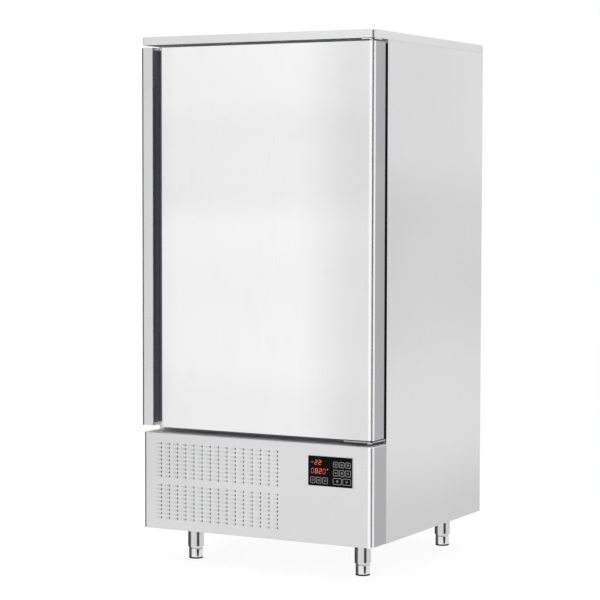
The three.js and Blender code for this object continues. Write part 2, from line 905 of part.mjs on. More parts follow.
function addHinges() {
  const plateRight = insideSkin;
  const legBack = carcassFront - seat;
  const legFront = legBack - hingePlate;
  const front = doorFace + hingeSetback;
  const hole = (low, high) => rod(pivotX, pivotY, pinRadius + seat, "z", low, high);
  const corner = (length) => {
    const path = [
      [plateRight, legBack],
      [plateRight, front],
      [plateRight - length, front],
      [plateRight - length, legBack],
    ];
    return offset(rounded(path, [plateRadius, plateEndRadius]), 0);
  };

  // Top: the plate hangs in the gap over the door, its leg stands inside the cover
  const topLow = coverBottom - hingeDrop;
  const topPlate = prism(corner(topPlateLength), "z", topLow, coverBottom)
    .add(
      block(
        [plateRight - topPlateLength, legFront, topLow],
        [plateRight - skin, legBack, topLow + topLeg],
      ),
    )
    .subtract(hole(topLow - cutPast, coverBottom + cutPast))
    .subtract(
      block(
        [plateRight - topNotchWidth, legBack - topNotchDepth, topLow - cutPast],
        [plateRight + cutPast, legBack + cutPast, topLow + topLeg + cutPast],
      ),
    );
  addPiece("hinge_plate_top", topPlate, brightSteel);
  addPiece(
    "hinge_pin_top",
    rod(pivotX, pivotY, pinRadius, "z", doorTop - pinReach, coverBottom + seat).add(
      rod(pivotX, pivotY, pinHeadRadius, "z", coverBottom + seat, coverBottom + seat + pinHead),
    ),
    brightSteel,
  );

  // Bottom: the plate carries the door, its leg hangs behind the lower panel
  const bottomLow = panelTop + bottomPlateHeight;
  const bottomHigh = bottomLow + hingePlate;
  const bottomPlate = prism(corner(bottomPlateLength), "z", bottomLow, bottomHigh)
    .add(
      block(
        [plateRight - bottomPlateLength, legFront, bottomHigh - bottomLeg],
        [plateRight - skin, legBack, bottomHigh],
      ),
    )
    .subtract(hole(bottomLow - cutPast, bottomHigh + cutPast));
  addPiece("hinge_plate_bottom", bottomPlate, brightSteel);
  addPiece(
    "hinge_pin_bottom",
    rod(pivotX, pivotY, pinRadius, "z", bottomLow - seat, doorBottom + pinReach).add(
      rod(pivotX, pivotY, pinHeadRadius, "z", bottomLow - seat - pinHead, bottomLow - seat),
    ),
    brightSteel,
  );

  // Bushes in the door. The lower one stands on the bottom plate and carries the door's weight.
  const bush = (low, high) =>
    prism(circle(pivotX, pivotY, bushRadius), "z", low, high, [
      circle(pivotX, pivotY, pinRadius + runningGap),
    ]);
  addPiece("door_bush_top", bush(doorTop - bushLength, doorTop), blackPlastic);
  addPiece("door_bush_bottom", bush(bottomHigh + seat, doorBottom + bushLength), blackPlastic);
}

// ---------------------------------------------------------------- legs

function addLegs() {
  const tubeTop = legHeight - seat;
  const hollow = legRadius - legWall;
  const tube = [
    [screwRadius + runningGap, footExposed],
    [footRadius, footExposed],
    [legRadius, footExposed + legNose],
    [legRadius, tubeTop - legFlange],
    [legFlangeRadius, tubeTop - legFlange],
    [legFlangeRadius, tubeTop],
    [hollow, tubeTop],
    [hollow, footExposed + insertLength],
    [screwRadius + runningGap, footExposed + insertLength],
  ];
  const footTop = footExposed - seat;
  const foot = [
    [0, padThickness + seat],
    [footRadius - footChamfer, padThickness + seat],
    [footRadius, padThickness + footEdge],
    [footRadius, footTop],
    [screwRadius, footTop],
    [screwRadius, footTop + screwLength],
    [0, footTop + screwLength],
  ];
  const pad = [
    [0, 0],
    [padRadius - padEdge, 0],
    [padRadius, padEdge],
    [padRadius, padThickness],
    [0, padThickness],
  ];
  const legX = halfWidth - legInsetX;
  const places = {
    front_left: [-legX, carcassFront + legInsetFront],
    front_right: [legX, carcassFront + legInsetFront],
    rear_left: [-legX, back - legInsetBack],
    rear_right: [legX, back - legInsetBack],
  };
  for (const [name, [x, y]] of Object.entries(places)) {
    addPiece(`leg_tube_${name}`, turned(tube, x, y), brushedSteel);
    addPiece(`leg_foot_${name}`, turned(foot, x, y), brightSteel);
    addPiece(`foot_pad_${name}`, turned(pad, x, y), blackRubber);
  }
}

// ---------------------------------------------------------------- tray racks

function addRacks() {
  const runnerIn = rackClear / 2;
  const runnerOut = runnerIn + runnerSheet;
  const postBack = chamberHalf - seat;
  for (const [side, sign] of [
    ["left", -1],
    ["right", 1],
  ]) {
    const parts = [];
    for (const postY of [
      rackFront + postInset,
      rackFront + runnerLength - postInset - postWidth,
    ]) {
      // A channel, open to the chamber wall
      const outline = [
        [sign * postBack, postY],
        [sign * runnerOut, postY],
        [sign * runnerOut, postY + postWidth],
        [sign * postBack, postY + postWidth],
        [sign * postBack, postY + postWidth - runnerSheet],
        [sign * (runnerOut + runnerSheet), postY + postWidth - runnerSheet],
        [sign * (runnerOut + runnerSheet), postY + runnerSheet],
        [sign * postBack, postY + runnerSheet],
      ];
      parts.push(prism(outline, "z", chamberFloor + seat, chamberCeiling - seat));
    }
    for (let level = 0; level < trayLevels; level++) {
      const z = chamberFloor + firstTray + level * trayPitch;
      const overlap = runnerSheet / 2; // welded into the posts
      const outline = [
        [sign * (runnerOut + overlap), z],
        [sign * (runnerOut + overlap), z + runnerFlange],
        [sign * runnerIn, z + runnerFlange],
        [sign * runnerIn, z + runnerSheet],
        [sign * (runnerIn - runnerLedge), z + runnerSheet],
        [sign * (runnerIn - runnerLedge), z],
      ];
      parts.push(prism(outline, "y", rackFront, rackFront + runnerLength));
    }
    addPiece(`tray_rack_${side}`, join(...parts), brightSteel);
  }
}

// ---------------------------------------------------------------- fans

/** Motor on four arms that stand on the back of a panel, with its shaft towards the panel. */
function fanMotor(x, z, panelBack, opening) {
  const reach = opening + armOver;
  const plane = panelBack + armPlane;
  const half = armWidth / 2;
  const parts = [
    block([x - reach, plane, z - half], [x + reach, plane + armThickness, z + half]),
    block([x - half, plane, z - reach], [x + half, plane + armThickness, z + reach]),
    rod(x, z, motorRadius, "y", plane + armThickness / 2, plane + armThickness + motorLength),
    rod(x, z, shaftRadius, "y", panelBack + hubStart + shaftSetback, plane + armThickness),
  ];
  const leg = armOver - seat;
  for (const [dx, dz] of [
    [1, 0],
    [-1, 0],
    [0, 1],
    [0, -1],
  ]) {
    const cx = x + dx * (reach - leg / 2);
    const cz = z + dz * (reach - leg / 2);
    parts.push(
      block(
        [cx - leg / 2, panelBack + seat, cz - leg / 2],
        [cx + leg / 2, plane + armThickness / 2, cz + leg / 2],
      ),
    );
  }
  return join(...parts);
}

/** Hub with pitched blades, turning about Y. */
function fanRotor(x, z, panelBack, radius) {
  const start = panelBack + hubStart;
  const middle = start + hubLength / 2;
  const end = start + hubLength;
  const parts = [rod(x, z, hubRadius, "y", start, end, hubSides)];
  const root = hubRadius - bladeRoot;
  const { degToRad, lerp } = THREE.MathUtils;
  for (let i = 0; i < bladeCount; i++) {
    const blade = new THREE.BoxGeometry(bladeChord, bladeThickness, radius - root, 1, 1, 2);
    blade.translate(0, 0, (radius + root) / 2);
    // The chord narrows and its pitch flattens towards the tip
    const at = blade.attributes.position;
    const point = new THREE.Vector3();
    for (let k = 0; k < at.count; k++) {
      point.fromBufferAttribute(at, k);
      const share = (point.z - root) / (radius - root);
      point.x *= lerp(bladeRootChord, 1, share);
      const tilt = degToRad(lerp(bladeRootPitch, bladeTipPitch, share));
      point.applyAxisAngle(new THREE.Vector3(0, 0, 1), tilt);
      at.setXYZ(k, point.x, point.y, point.z);
    }
    blade.rotateY((2 * Math.PI * i) / bladeCount);
    blade.translate(x, middle, z);
    // The tips follow the circle that they sweep
    const sweep = rod(x, z, radius, "y", start - bladeChord, end + bladeChord, sweepSides);
    parts.push(solid(blade).intersect(sweep));
  }
  const bore = rod(x, z, shaftRadius + runningGap, "y", start - cutPast, end + cutPast);
  return join(...parts).subtract(bore);
}

/** Wire guard: rings on crossed spokes that stand on the front of a panel. */
function fanGuard(x, z, panelFront, opening) {
  const reach = opening + armOver;
  const wireBack = panelFront - guardGap;
  const parts = [
    block(
      [x - reach, wireBack - guardWire, z - guardSpoke / 2],
      [x + reach, wireBack, z + guardSpoke / 2],
    ),
    block(
      [x - guardSpoke / 2, wireBack - guardWire, z - reach],
      [x + guardSpoke / 2, wireBack, z + reach],
    ),
  ];
  for (let i = 1; i <= guardRings; i++) {
    const outer = (i * opening) / guardRings;
    parts.push(
      prism(
        circle(x, z, outer, guardSides),
        "y",
        wireBack - guardWire - guardStep,
        wireBack - guardStep,
        [circle(x, z, outer - guardWire, guardSides)],
      ),
    );
  }
  const foot = armOver - seat;
  for (const [dx, dz] of [
    [1, 0],
    [-1, 0],
    [0, 1],
    [0, -1],
  ]) {
    const cx = x + dx * (reach - foot / 2);
    const cz = z + dz * (reach - foot / 2);
    parts.push(
      block(
        [cx - foot / 2, wireBack - guardWire / 2, cz - foot / 2],
        [cx + foot / 2, panelFront - seat, cz + foot / 2],
      ),
    );
  }
  return join(...parts);
}

// ---------------------------------------------------------------- evaporator

/** A block of fins with return bends on its sides, its fins standing along "x" pitch. */
function finnedCoil([x0, y0, z0], [x1, y1, z1], fins, bends) {
  const pitch = (x1 - x0) / fins;
  const outline = [[x1, y1], [x0, y1]];
  for (let i = 0; i < fins; i++) {
    const left = x0 + i * pitch;
    outline.push([left, y0], [left + pitch / 2, y0]);
    if (i < fins - 1) outline.push([left + pitch / 2, y0 + finGroove], [left + pitch, y0 + finGroove]);
  }
  outline.push([x1 - pitch / 2, y0 + finGroove], [x1, y0 + finGroove]);
  let made = prism(outline, "z", z0, z1);
  const step = (z1 - z0) / bends;
  const middle = (y0 + y1) / 2;
  for (let i = 0; i < bends; i++) {
    for (const [face, sign] of [
      [x0, -1],
      [x1, 1],
    ]) {
      const z = z0 + (i + 0.5) * step;
      const root = face - sign * bendRoot;
      const outer = face + sign * bendRadius;
      const corners = [
        new THREE.Vector3(root, middle, z - bendRadius),
        new THREE.Vector3(outer, middle, z - bendRadius),
        new THREE.Vector3(outer, middle, z + bendRadius),
        new THREE.Vector3(root, middle, z + bendRadius),
      ];
      made = made.add(pipe(corners, bendTube, bendCorner));
    }
  }
  return made;
}

/** A curve whose extrusion puts one ring at each of its stations. */
class StationCurve extends THREE.Curve {
  constructor(stations) {
    super();
    this.stations = stations;
  }

  getPointAt(share, target = new THREE.Vector3()) {
    return target.copy(this.stations[Math.round(share * (this.stations.length - 1))]);
  }

  getTangentAt(share, target = new THREE.Vector3()) {
    const last = this.stations.length - 1;
    const at = Math.round(share * last);
    const ahead = this.stations[Math.min(at + 1, last)];
    return target.subVectors(ahead, this.stations[Math.max(at - 1, 0)]).normalize();
  }
}

/** A round bar in straight runs, bent between them. */
function pipe(points, radius, bend, sides = lineSides) {
  const stations = [points[0]];
  for (let i = 1; i < points.length - 1; i++) {
    const before = points[i].clone().sub(points[i - 1]).normalize();
    const after = points[i + 1].clone().sub(points[i]).normalize();
    const trim = bend * Math.tan(before.angleTo(after) / 2);
    const start = points[i].clone().addScaledVector(before, -trim);
    const end = points[i].clone().addScaledVector(after, trim);
    const corner = new THREE.QuadraticBezierCurve3(start, points[i], end);
    stations.push(...corner.getPoints(pipeBendSteps));
  }
  stations.push(points[points.length - 1]);
  const section = new THREE.Shape(
    circle(0, 0, radius, sides).map(([u, v]) => new THREE.Vector2(u, v)),
  );
  const extrudePath = new StationCurve(stations);
  return solid(new THREE.ExtrudeGeometry(section, { steps: stations.length - 1, extrudePath }));
}

function addEvaporator() {
  const fanOpening = evaporatorFanRadius + tipGap;
  const fanHeights = {
    lower: chamberFloor + evaporatorFanLow,
    upper: chamberFloor + evaporatorFanLow + evaporatorFanStep,
  };
  const panelLow = chamberFloor + seat;
  const panelHigh = chamberCeiling - seat;
  const half = fanPanelWidth / 2;
  const panel = prism(
    rectangle(-half, half, panelLow, panelHigh),
    "y",
    fanPanelFront,
    fanPanelBack,
    Object.values(fanHeights).map((z) => circle(0, z, fanOpening, openingSides)),
  )
    .add(block([-half, fanPanelFront, panelLow], [half, fanPanelBack + fanPanelFlange, panelLow + skin]))
    .add(block([-half, fanPanelFront, panelHigh - skin], [half, fanPanelBack + fanPanelFlange, panelHigh]));
  addPiece("fan_panel", panel, brushedSteel);
  for (const [name, z] of Object.entries(fanHeights)) {
    addPiece(`fan_guard_${name}`, fanGuard(0, z, fanPanelFront, fanOpening), brightSteel);
    addPiece(`fan_motor_${name}`, fanMotor(0, z, fanPanelBack, fanOpening), blackPlastic);
    addPiece(`fan_rotor_${name}`, fanRotor(0, z, fanPanelBack, evaporatorFanRadius), finAluminium);
  }

  const coilHalf = coilWidth / 2;
  const stub = (y, z, radius) =>
    rod(y, z, radius, "x", coilHalf - stubRoot, coilHalf + stubLength, pipeSides);
  const coil = finnedCoil(
    [-coilHalf, coilFront, coilBottom],
    [coilHalf, chamberBack - seat, coilBottom + coilHeight],
    coilFins,
    bendCount,
  )
    .add(stub(suctionY, suctionStubHeight, suctionRadius))
    .add(stub(liquidY, liquidStubHeight, liquidRadius));
  addPiece("evaporator_coil", coil, finAluminium);

  // Drip pan under the coil, and its drain down to the condensate tray
  const panHalf = dripPanWidth / 2;
  const panTop = chamberFloor + dripPanHeight;
  const pan = tray(
    [-panHalf, fanPanelFront + dripPanSetback, chamberFloor + seat],
    [panHalf, chamberBack - seat, panTop],
    skin,
    "top",
  ).subtract(rod(drainX, drainY, drainRadius - drainWall, "z", chamberFloor - cutPast, panTop));
  addPiece("drip_pan", pan, brushedSteel);
  addPiece(
    "drain_pipe",
    prism(circle(drainX, drainY, drainRadius), "z", baseTop + condensateHeight / 2, chamberFloor, [
      circle(drainX, drainY, drainRadius - drainWall),
    ]),
    capGrey,
  );
}

// ---------------------------------------------------------------- condensing unit

function addCondensingUnit() {
  const standing = baseTop + seat;
  const dischargeZ = deckBottom - hotGasRun;
  const middleY = (condenserFront + condenserBack) / 2;
  const stubEnd = condenserRight + stubLength;
  const condenser = finnedCoil(
    [condenserLeft, condenserFront, standing],
    [condenserRight, condenserBack, condenserTop],
    condenserFins,
    bendCount,
  ).add(rod(middleY, dischargeZ, dischargeRadius, "x", condenserRight - stubRoot, stubEnd, pipeSides));
  addPiece("condenser_coil", condenser, finAluminium);

  // Shroud and fan behind the condenser
  const fanX = (condenserLeft + condenserRight) / 2;
  const fanZ = (standing + condenserTop) / 2;
  const opening = condenserFanRadius + tipGap;
  const shroud = tray(
    [condenserLeft, shroudFront, standing],
    [condenserRight, shroudBack, condenserTop],
    skin,
    "front",
  ).subtract(rod(fanX, fanZ, opening, "y", shroudBack - 2 * skin, shroudBack + cutPast, shroudSides));
  addPiece("condenser_shroud", shroud, galvanised);
  addPiece("condenser_fan_motor", fanMotor(fanX, fanZ, shroudBack, opening), blackPlastic);
  addPiece("condenser_fan_rotor", fanRotor(fanX, fanZ, shroudBack, condenserFanRadius), finAluminium);

  // Hermetic compressor on a plate with rubber feet
  const plateLow = standing + grommetHeight;
  const shellLow = plateLow + compressorPlate - weldSink;
  const shell = [
    [0, shellLow],
    [compressorRadius - shellFoot, shellLow],
    [compressorRadius, shellLow + shellFoot],
    ...shellDome.map(([inwards, down]) => [compressorRadius - inwards, compressorTop - down]),
    [0, compressorTop],
  ];
  const plateX = grommetSpacingX / 2 + grommetRadius;
  const plateY = grommetSpacingY / 2 + grommetRadius;
  const portLow = compressorTop - portRoot;
  const port = (x) =>
    rod(x, compressorY, suctionRadius, "z", portLow, compressorPortHeight, pipeSides);
  const parts = [
    turned(shell, compressorX, compressorY, compressorSides),
    block(
      [compressorX - plateX, compressorY - plateY, plateLow],
      [compressorX + plateX, compressorY + plateY, plateLow + compressorPlate],
    ),
    port(compressorX + portSpacing),
    port(compressorX - portSpacing),
  ];
  for (const sx of [-1, 1]) {
    for (const sy of [-1, 1]) {
      parts.push(
        rod(
          compressorX + (sx * grommetSpacingX) / 2,
          compressorY + (sy * grommetSpacingY) / 2,
          grommetRadius,
          "z",
          standing,
          plateLow + weldSink,
          grommetSides,
        ),
      );
    }
  }
  addPiece("compressor", join(...parts), compressorBlack);

  // Liquid receiver, fed by a stub from the condenser's low side
  const receiverTop = standing + receiverHeight;
  const outletTop = receiverTop + outletLength;
  const receiver = turned(
    [
      [0, standing],
      [receiverRadius - receiverFoot, standing],
      [receiverRadius, standing + receiverFootRise],
      [receiverRadius, receiverTop - receiverShoulder],
      [receiverRadius - receiverShoulder, receiverTop],
      [0, receiverTop],
    ],
    receiverX,
    receiverY,
    receiverSides,
  )
    .add(rod(receiverX, receiverY, liquidRadius, "z", receiverTop - stubRoot, outletTop, pipeSides))
    .add(
      pipe(
        [
          new THREE.Vector3(condenserRight + seat, middleY, standing + liquidRise),
          new THREE.Vector3(receiverX, middleY, standing + liquidRise),
          new THREE.Vector3(receiverX, receiverY, standing + liquidRise),
        ],
        liquidRadius,
        pipeBend,
      ),
    );
  addPiece("liquid_receiver", receiver, compressorBlack);

  // Suction line: evaporator to compressor
  const at = (x, y, z) => new THREE.Vector3(x, y, z);
  const coilEnd = coilWidth / 2 + stubLength + seat;
  const suctionX = compressorX + portSpacing;
  const suctionZ = deckBottom - suctionDrop;
  addPiece(
    "suction_line",
    pipe(
      [
        at(coilEnd, suctionY, suctionStubHeight),
        at(riserX, suctionY, suctionStubHeight),
        at(riserX, suctionY, suctionZ),
        at(suctionX, suctionY, suctionZ),
        at(suctionX, compressorY, suctionZ),
        at(suctionX, compressorY, compressorPortHeight + seat),
      ],
      suctionRadius - lineStep,
      pipeBend,
      suctionSides,
    ),
    copper,
  );

  // Discharge line: compressor to condenser
  const dischargeX = compressorX - portSpacing;
  addPiece(
    "discharge_line",
    pipe(
      [
        at(dischargeX, compressorY, compressorPortHeight + seat),
        at(dischargeX, compressorY, dischargeZ),
        at(dischargeX, middleY, dischargeZ),
        at(condenserRight + stubLength + seat, middleY, dischargeZ),
      ],
      dischargeRadius,
      pipeBend,
    ),
    copper,
  );

  // Liquid line with its filter drier: receiver to evaporator
  const lineZ = deckBottom - liquidRun;
  addPiece(
    "liquid_line",
    pipe(
      [
        at(receiverX, receiverY, outletTop + seat),
        at(receiverX, receiverY, lineZ),
        at(drierX, receiverY, lineZ),
        at(drierX, liquidY, lineZ),
        at(riserX, liquidY, lineZ),
        at(riserX, liquidY, liquidStubHeight),
        at(coilEnd, liquidY, liquidStubHeight),
      ],
      liquidRadius - lineStep,
      pipeBend,
    ).add(rod(drierX, lineZ, drierRadius, "y", drierY, drierY + drierLength)),
    copper,
  );

  // Tray that boils the meltwater off
  addPiece(
    "condensate_tray",
    tray(
      [drainX - condensateLeft, drainY - condensateFront, standing],
      [drainX + condensateRight, drainY + condensateBack, standing + condensateHeight],
      skin,
      "top",
    ),
    galvanised,
  );

  // Cable gland in the base pan
  const nut = glandRadius + glandNut;
  addPiece(
    "cable_gland",
    turned(
      [
        [glandBore, legHeight - glandNose],
        [glandRadius + glandNoseLip, legHeight - glandNose],
        [nut, legHeight - glandNutHeight],
        [nut, legHeight - seat],
        [glandRadius, legHeight - seat],
        [glandRadius, baseTop + seat],
        [nut, baseTop + seat],
        [nut, baseTop + glandNutInside],
        [glandBore, baseTop + glandNutInside],
      ],
      glandX,
      glandY,
      pipeSides,
    ),
    blackPlastic,
  );
}

addCarcass();
addFrontPanel();
addDoor();
addHinges();
addLegs();
addRacks();
addEvaporator();
addCondensingUnit();

export default group;
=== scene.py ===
"""Blast chiller: its detailed pieces, their finishes and a plain studio, built around the packed frame.

Lengths are metres in the frame of the solids: +Z up, -Y towards the person who opens the door.
"""

import math

import bmesh
import bpy
from bpy.props import FloatProperty, FloatVectorProperty, IntProperty, PointerProperty, StringProperty
from bpy.types import Operator, Panel, PropertyGroup
from mathutils import Matrix, Vector


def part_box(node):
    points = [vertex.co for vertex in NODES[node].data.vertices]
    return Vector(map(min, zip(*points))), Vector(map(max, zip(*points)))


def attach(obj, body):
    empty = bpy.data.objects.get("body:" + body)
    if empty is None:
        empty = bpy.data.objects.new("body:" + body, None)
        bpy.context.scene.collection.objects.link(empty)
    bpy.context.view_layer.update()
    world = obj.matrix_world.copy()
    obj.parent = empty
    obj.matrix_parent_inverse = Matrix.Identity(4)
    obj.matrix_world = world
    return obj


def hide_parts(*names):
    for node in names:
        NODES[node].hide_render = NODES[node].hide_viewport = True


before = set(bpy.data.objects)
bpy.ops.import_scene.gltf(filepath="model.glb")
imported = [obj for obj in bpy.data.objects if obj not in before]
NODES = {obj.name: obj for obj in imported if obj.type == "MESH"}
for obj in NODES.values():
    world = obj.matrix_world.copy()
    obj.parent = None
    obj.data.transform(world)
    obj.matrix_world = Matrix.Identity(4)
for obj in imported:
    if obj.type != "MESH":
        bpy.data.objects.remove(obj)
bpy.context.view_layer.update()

bl_info = {
    "name": "Blast chiller",
    "version": (1, 0, 0),
    "blender": (4, 5, 0),
    "location": "View3D > Sidebar > Chiller",
    "description": "Builds the detailed pieces, finishes and studio of a blast chiller",
    "category": "Object",
}

MM = 0.001


# ------------------------------------------------------------------ places taken from the solids


def low(node):
    """Lowest corner of a CAD node's box."""
    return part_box(node)[0]


def high(node):
    """Highest corner of a CAD node's box."""
    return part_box(node)[1]


# Play between pieces that lie against each other.
SEAT = 0.3 * MM
HALF = high("side_panel_right").x
BACK = high("side_panel_right").y
FACE = low("front_panel").y
PANEL_LOW = low("front_panel").z
PANEL_TOP = high("front_panel").z
PANEL_BACK = high("front_panel").y
STRIP_FACE = low("door_skin").y
DOOR_BACK = high("door_skin").y
DOOR_LOW = low("door_skin").z
DOOR_TOP = high("door_skin").z
COVER_LOW = low("top_cover").z
COVER_TOP = high("top_cover").z
FRAME_FRONT = low("face_frame").y
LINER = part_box("chamber_liner")
PLACES = ("front_left", "front_right", "rear_left", "rear_right")


# ------------------------------------------------------------------ sizes and colours a user may change


class ChillerSheets(PropertyGroup):
    """Folded sheets of the cabinet and the door"""

    thickness: FloatProperty(
        name="Sheet", description="Thickness of the outer sheets", default=1.0 * MM, unit="LENGTH"
    )
    corner: FloatProperty(
        name="Front corner", description="Radius of the right front bends", default=15 * MM, unit="LENGTH"
    )
    left_corner: FloatProperty(
        name="Left corner", description="Radius of the lower panel's left bend",
        default=10 * MM, unit="LENGTH",
    )
    fold: FloatProperty(
        name="Fold", description="Radius of the small folds", default=2.4 * MM, unit="LENGTH"
    )
    strip_width: FloatProperty(
        name="Handle strip", description="Width of the proud handle strip", default=43 * MM, unit="LENGTH"
    )
    strip_corner: FloatProperty(
        name="Strip corner", description="Radius of the strip's outer edge", default=10 * MM, unit="LENGTH"
    )
    groove_width: FloatProperty(
        name="Groove", description="Width of the finger groove", default=23 * MM, unit="LENGTH"
    )
    groove_depth: FloatProperty(
        name="Groove depth", description="Depth of the groove from the door's face",
        default=30 * MM, unit="LENGTH",
    )


class ChillerVents(PropertyGroup):
    """Pressed vents of the lower front panel"""

    columns: IntProperty(name="Columns", description="Vents in a row", default=15, min=1)
    rows: IntProperty(name="Rows", description="Rows in a block", default=9, min=1)
    blocks: IntProperty(name="Blocks", description="Blocks above each other", default=2, min=1)
    pitch_x: FloatProperty(
        name="Pitch across", description="Vent to vent in a row", default=29.6 * MM, unit="LENGTH"
    )
    pitch_z: FloatProperty(
        name="Pitch up", description="Row to row", default=12.75 * MM, unit="LENGTH"
    )
    block_step: FloatProperty(
        name="Block step", description="Lowest row of one block to that of the next",
        default=131 * MM, unit="LENGTH",
    )
    margin: FloatProperty(
        name="Left margin", description="Panel's left edge to the first vent",
        default=45 * MM, unit="LENGTH",
    )
    lowest: FloatProperty(
        name="Lowest row", description="Panel's lower edge to the lowest row",
        default=36 * MM, unit="LENGTH",
    )
    width: FloatProperty(name="Slot width", description="Width of the cut", default=22 * MM, unit="LENGTH")
    height: FloatProperty(
        name="Slot height", description="Height of the cut",
        default=6.5 * MM, unit="LENGTH",
    )
    hood: FloatProperty(
        name="Hood length", description="Length of the pressed hood over the cut",
        default=20.3 * MM, unit="LENGTH",
    )
    rise: FloatProperty(
        name="Hood rise", description="How far the hood's mouth stands proud",
        default=2.3 * MM, unit="LENGTH",
    )


class ChillerKeypad(PropertyGroup):
    """Membrane keypad and display"""

    reading: StringProperty(name="Upper reading", description="Digits of the upper line", default="-22")
    clock: StringProperty(name="Lower reading", description="Digits of the lower line", default="0820")
    glow: FloatVectorProperty(
        name="Digits", description="Colour of the lit segments", subtype="COLOR", default=(1.0, 0.15, 0.07)
    )
    key_line: FloatVectorProperty(
        name="Key outline", description="Colour of the printed key outlines",
        subtype="COLOR", default=(0.40, 0.40, 0.41),
    )


class ChillerFinishes(PropertyGroup):
    """Finishes of the metal"""

    steel: FloatVectorProperty(
        name="Steel", description="Colour of the satin steel", subtype="COLOR", default=(0.92, 0.92, 0.925)
    )
    panel: FloatVectorProperty(
        name="Panel steel", description="Colour of the lower front panel",
        subtype="COLOR", default=(0.73, 0.73, 0.735),
    )
    strip: FloatVectorProperty(
        name="Strip steel", description="Colour of the handle strip",
        subtype="COLOR", default=(0.69, 0.69, 0.70),
    )
    cover: FloatVectorProperty(
        name="Cover steel", description="Colour of the top cover",
        subtype="COLOR", default=(0.79, 0.79, 0.795),
    )
    # The side panels' steel is set darker than the door's as painted shade.
    side: FloatVectorProperty(
        name="Side steel", description="Colour of the side panels",
        subtype="COLOR", default=(0.79, 0.79, 0.80),
    )
    # The returns' colour is the door's steel darkened: painted shade on the faces that look sideways.
    edge: FloatVectorProperty(
        name="Return steel", description="Colour of the returns at the side of the door", subtype="COLOR",
        default=(0.46, 0.46, 0.47),
    )
    roughness: FloatProperty(
        name="Roughness", description="Roughness of the satin steel",
        default=0.30, subtype="FACTOR", min=0, max=1,
    )


class ChillerStudio(PropertyGroup):
    """Camera and light"""

    camera: FloatVectorProperty(
        name="Camera", description="Place of the camera", subtype="TRANSLATION", unit="LENGTH",
        default=(3.0297, -5.7511, 1.1956),
    )
    yaw: FloatProperty(
        name="Yaw", description="Camera's turn to the left of straight back",
        subtype="ANGLE", unit="ROTATION", default=math.radians(28.23),
    )
    pitch: FloatProperty(
        name="Pitch", description="Camera's tilt downwards", subtype="ANGLE", unit="ROTATION",
        default=math.radians(3.31),
    )
    roll: FloatProperty(
        name="Roll", description="Camera's turn about its own axis", subtype="ANGLE", unit="ROTATION",
        default=math.radians(0.12),
    )
    lens: FloatProperty(
        name="Lens", description="Focal length on a 36 mm sensor",
        default=121.74, unit="CAMERA",
    )
    room: FloatProperty(
        name="Room light", description="Level of the soft light all round",
        default=0.82, min=0,
    )
    floor_reach: FloatProperty(
        name="Floor", description="Radius of the pale floor",
        default=9.0, unit="LENGTH",
    )


GROUPS = {
    "chiller_sheets": ChillerSheets,
    "chiller_vents": ChillerVents,
    "chiller_keypad": ChillerKeypad,
    "chiller_finishes": ChillerFinishes,
    "chiller_studio": ChillerStudio,
}


# ------------------------------------------------------------------ node trees


class Value:
    """A socket that can be used in sums."""

    def __init__(self, tree, socket):
        self.tree = tree
        self.socket = socket

    def sum(self, operation, first, second):
        return self.tree.value("ShaderNodeMath", {"operation": operation}, {0: first, 1: second})

    def __add__(self, other):
        return self.sum("ADD", self, other)

    def __radd__(self, other):
        return self.sum("ADD", other, self)

    def __sub__(self, other):
        return self.sum("SUBTRACT", self, other)

    def __rsub__(self, other):
        return self.sum("SUBTRACT", other, self)

    def __mul__(self, other):
        return self.sum("MULTIPLY", self, other)

    def __rmul__(self, other):
        return self.sum("MULTIPLY", other, self)

    def __truediv__(self, other):
        return self.sum("DIVIDE", self, other)

    def __rtruediv__(self, other):
        return self.sum("DIVIDE", other, self)

    def __pow__(self, other):
        return self.sum("POWER", self, other)

    def __rpow__(self, other):
        return self.sum("POWER", other, self)


class Tree:
    """A node tree that is being built."""

    def __init__(self, tree):
        self.tree = tree
        tree.nodes.clear()

    def node(self, kind, settings=None, sockets=None):
        made = self.tree.nodes.new(kind)
        for name, setting in (settings or {}).items():
            setattr(made, name, setting)
        for name, value in (sockets or {}).items():
            if isinstance(value, Value):
                self.tree.links.new(value.socket, made.inputs[name])
            else:
                made.inputs[name].default_value = value
        return made

    def value(self, kind, settings=None, sockets=None, output=0):
        return Value(self, self.node(kind, settings, sockets).outputs[output])

    def mix(self, share, first, second):
        """Colour between two colours."""
        return self.value(
            "ShaderNodeMix", {"data_type": "RGBA"}, {0: share, 6: opaque(first), 7: opaque(second)}, 2
        )

    def between(self, value, start, end, first=0.0, second=1.0):
        """A smooth step of a value from first to second."""
        return self.value(
            "ShaderNodeMapRange",
            {"interpolation_type": "SMOOTHSTEP"},
            {"Value": value, "From Min": start, "From Max": end, "To Min": first, "To Max": second},
        )


def opaque(colour):
    """A colour for a socket: its three channels with an alpha of 1."""
    if isinstance(colour, Value):
        return colour
    return (colour[0], colour[1], colour[2], 1.0)


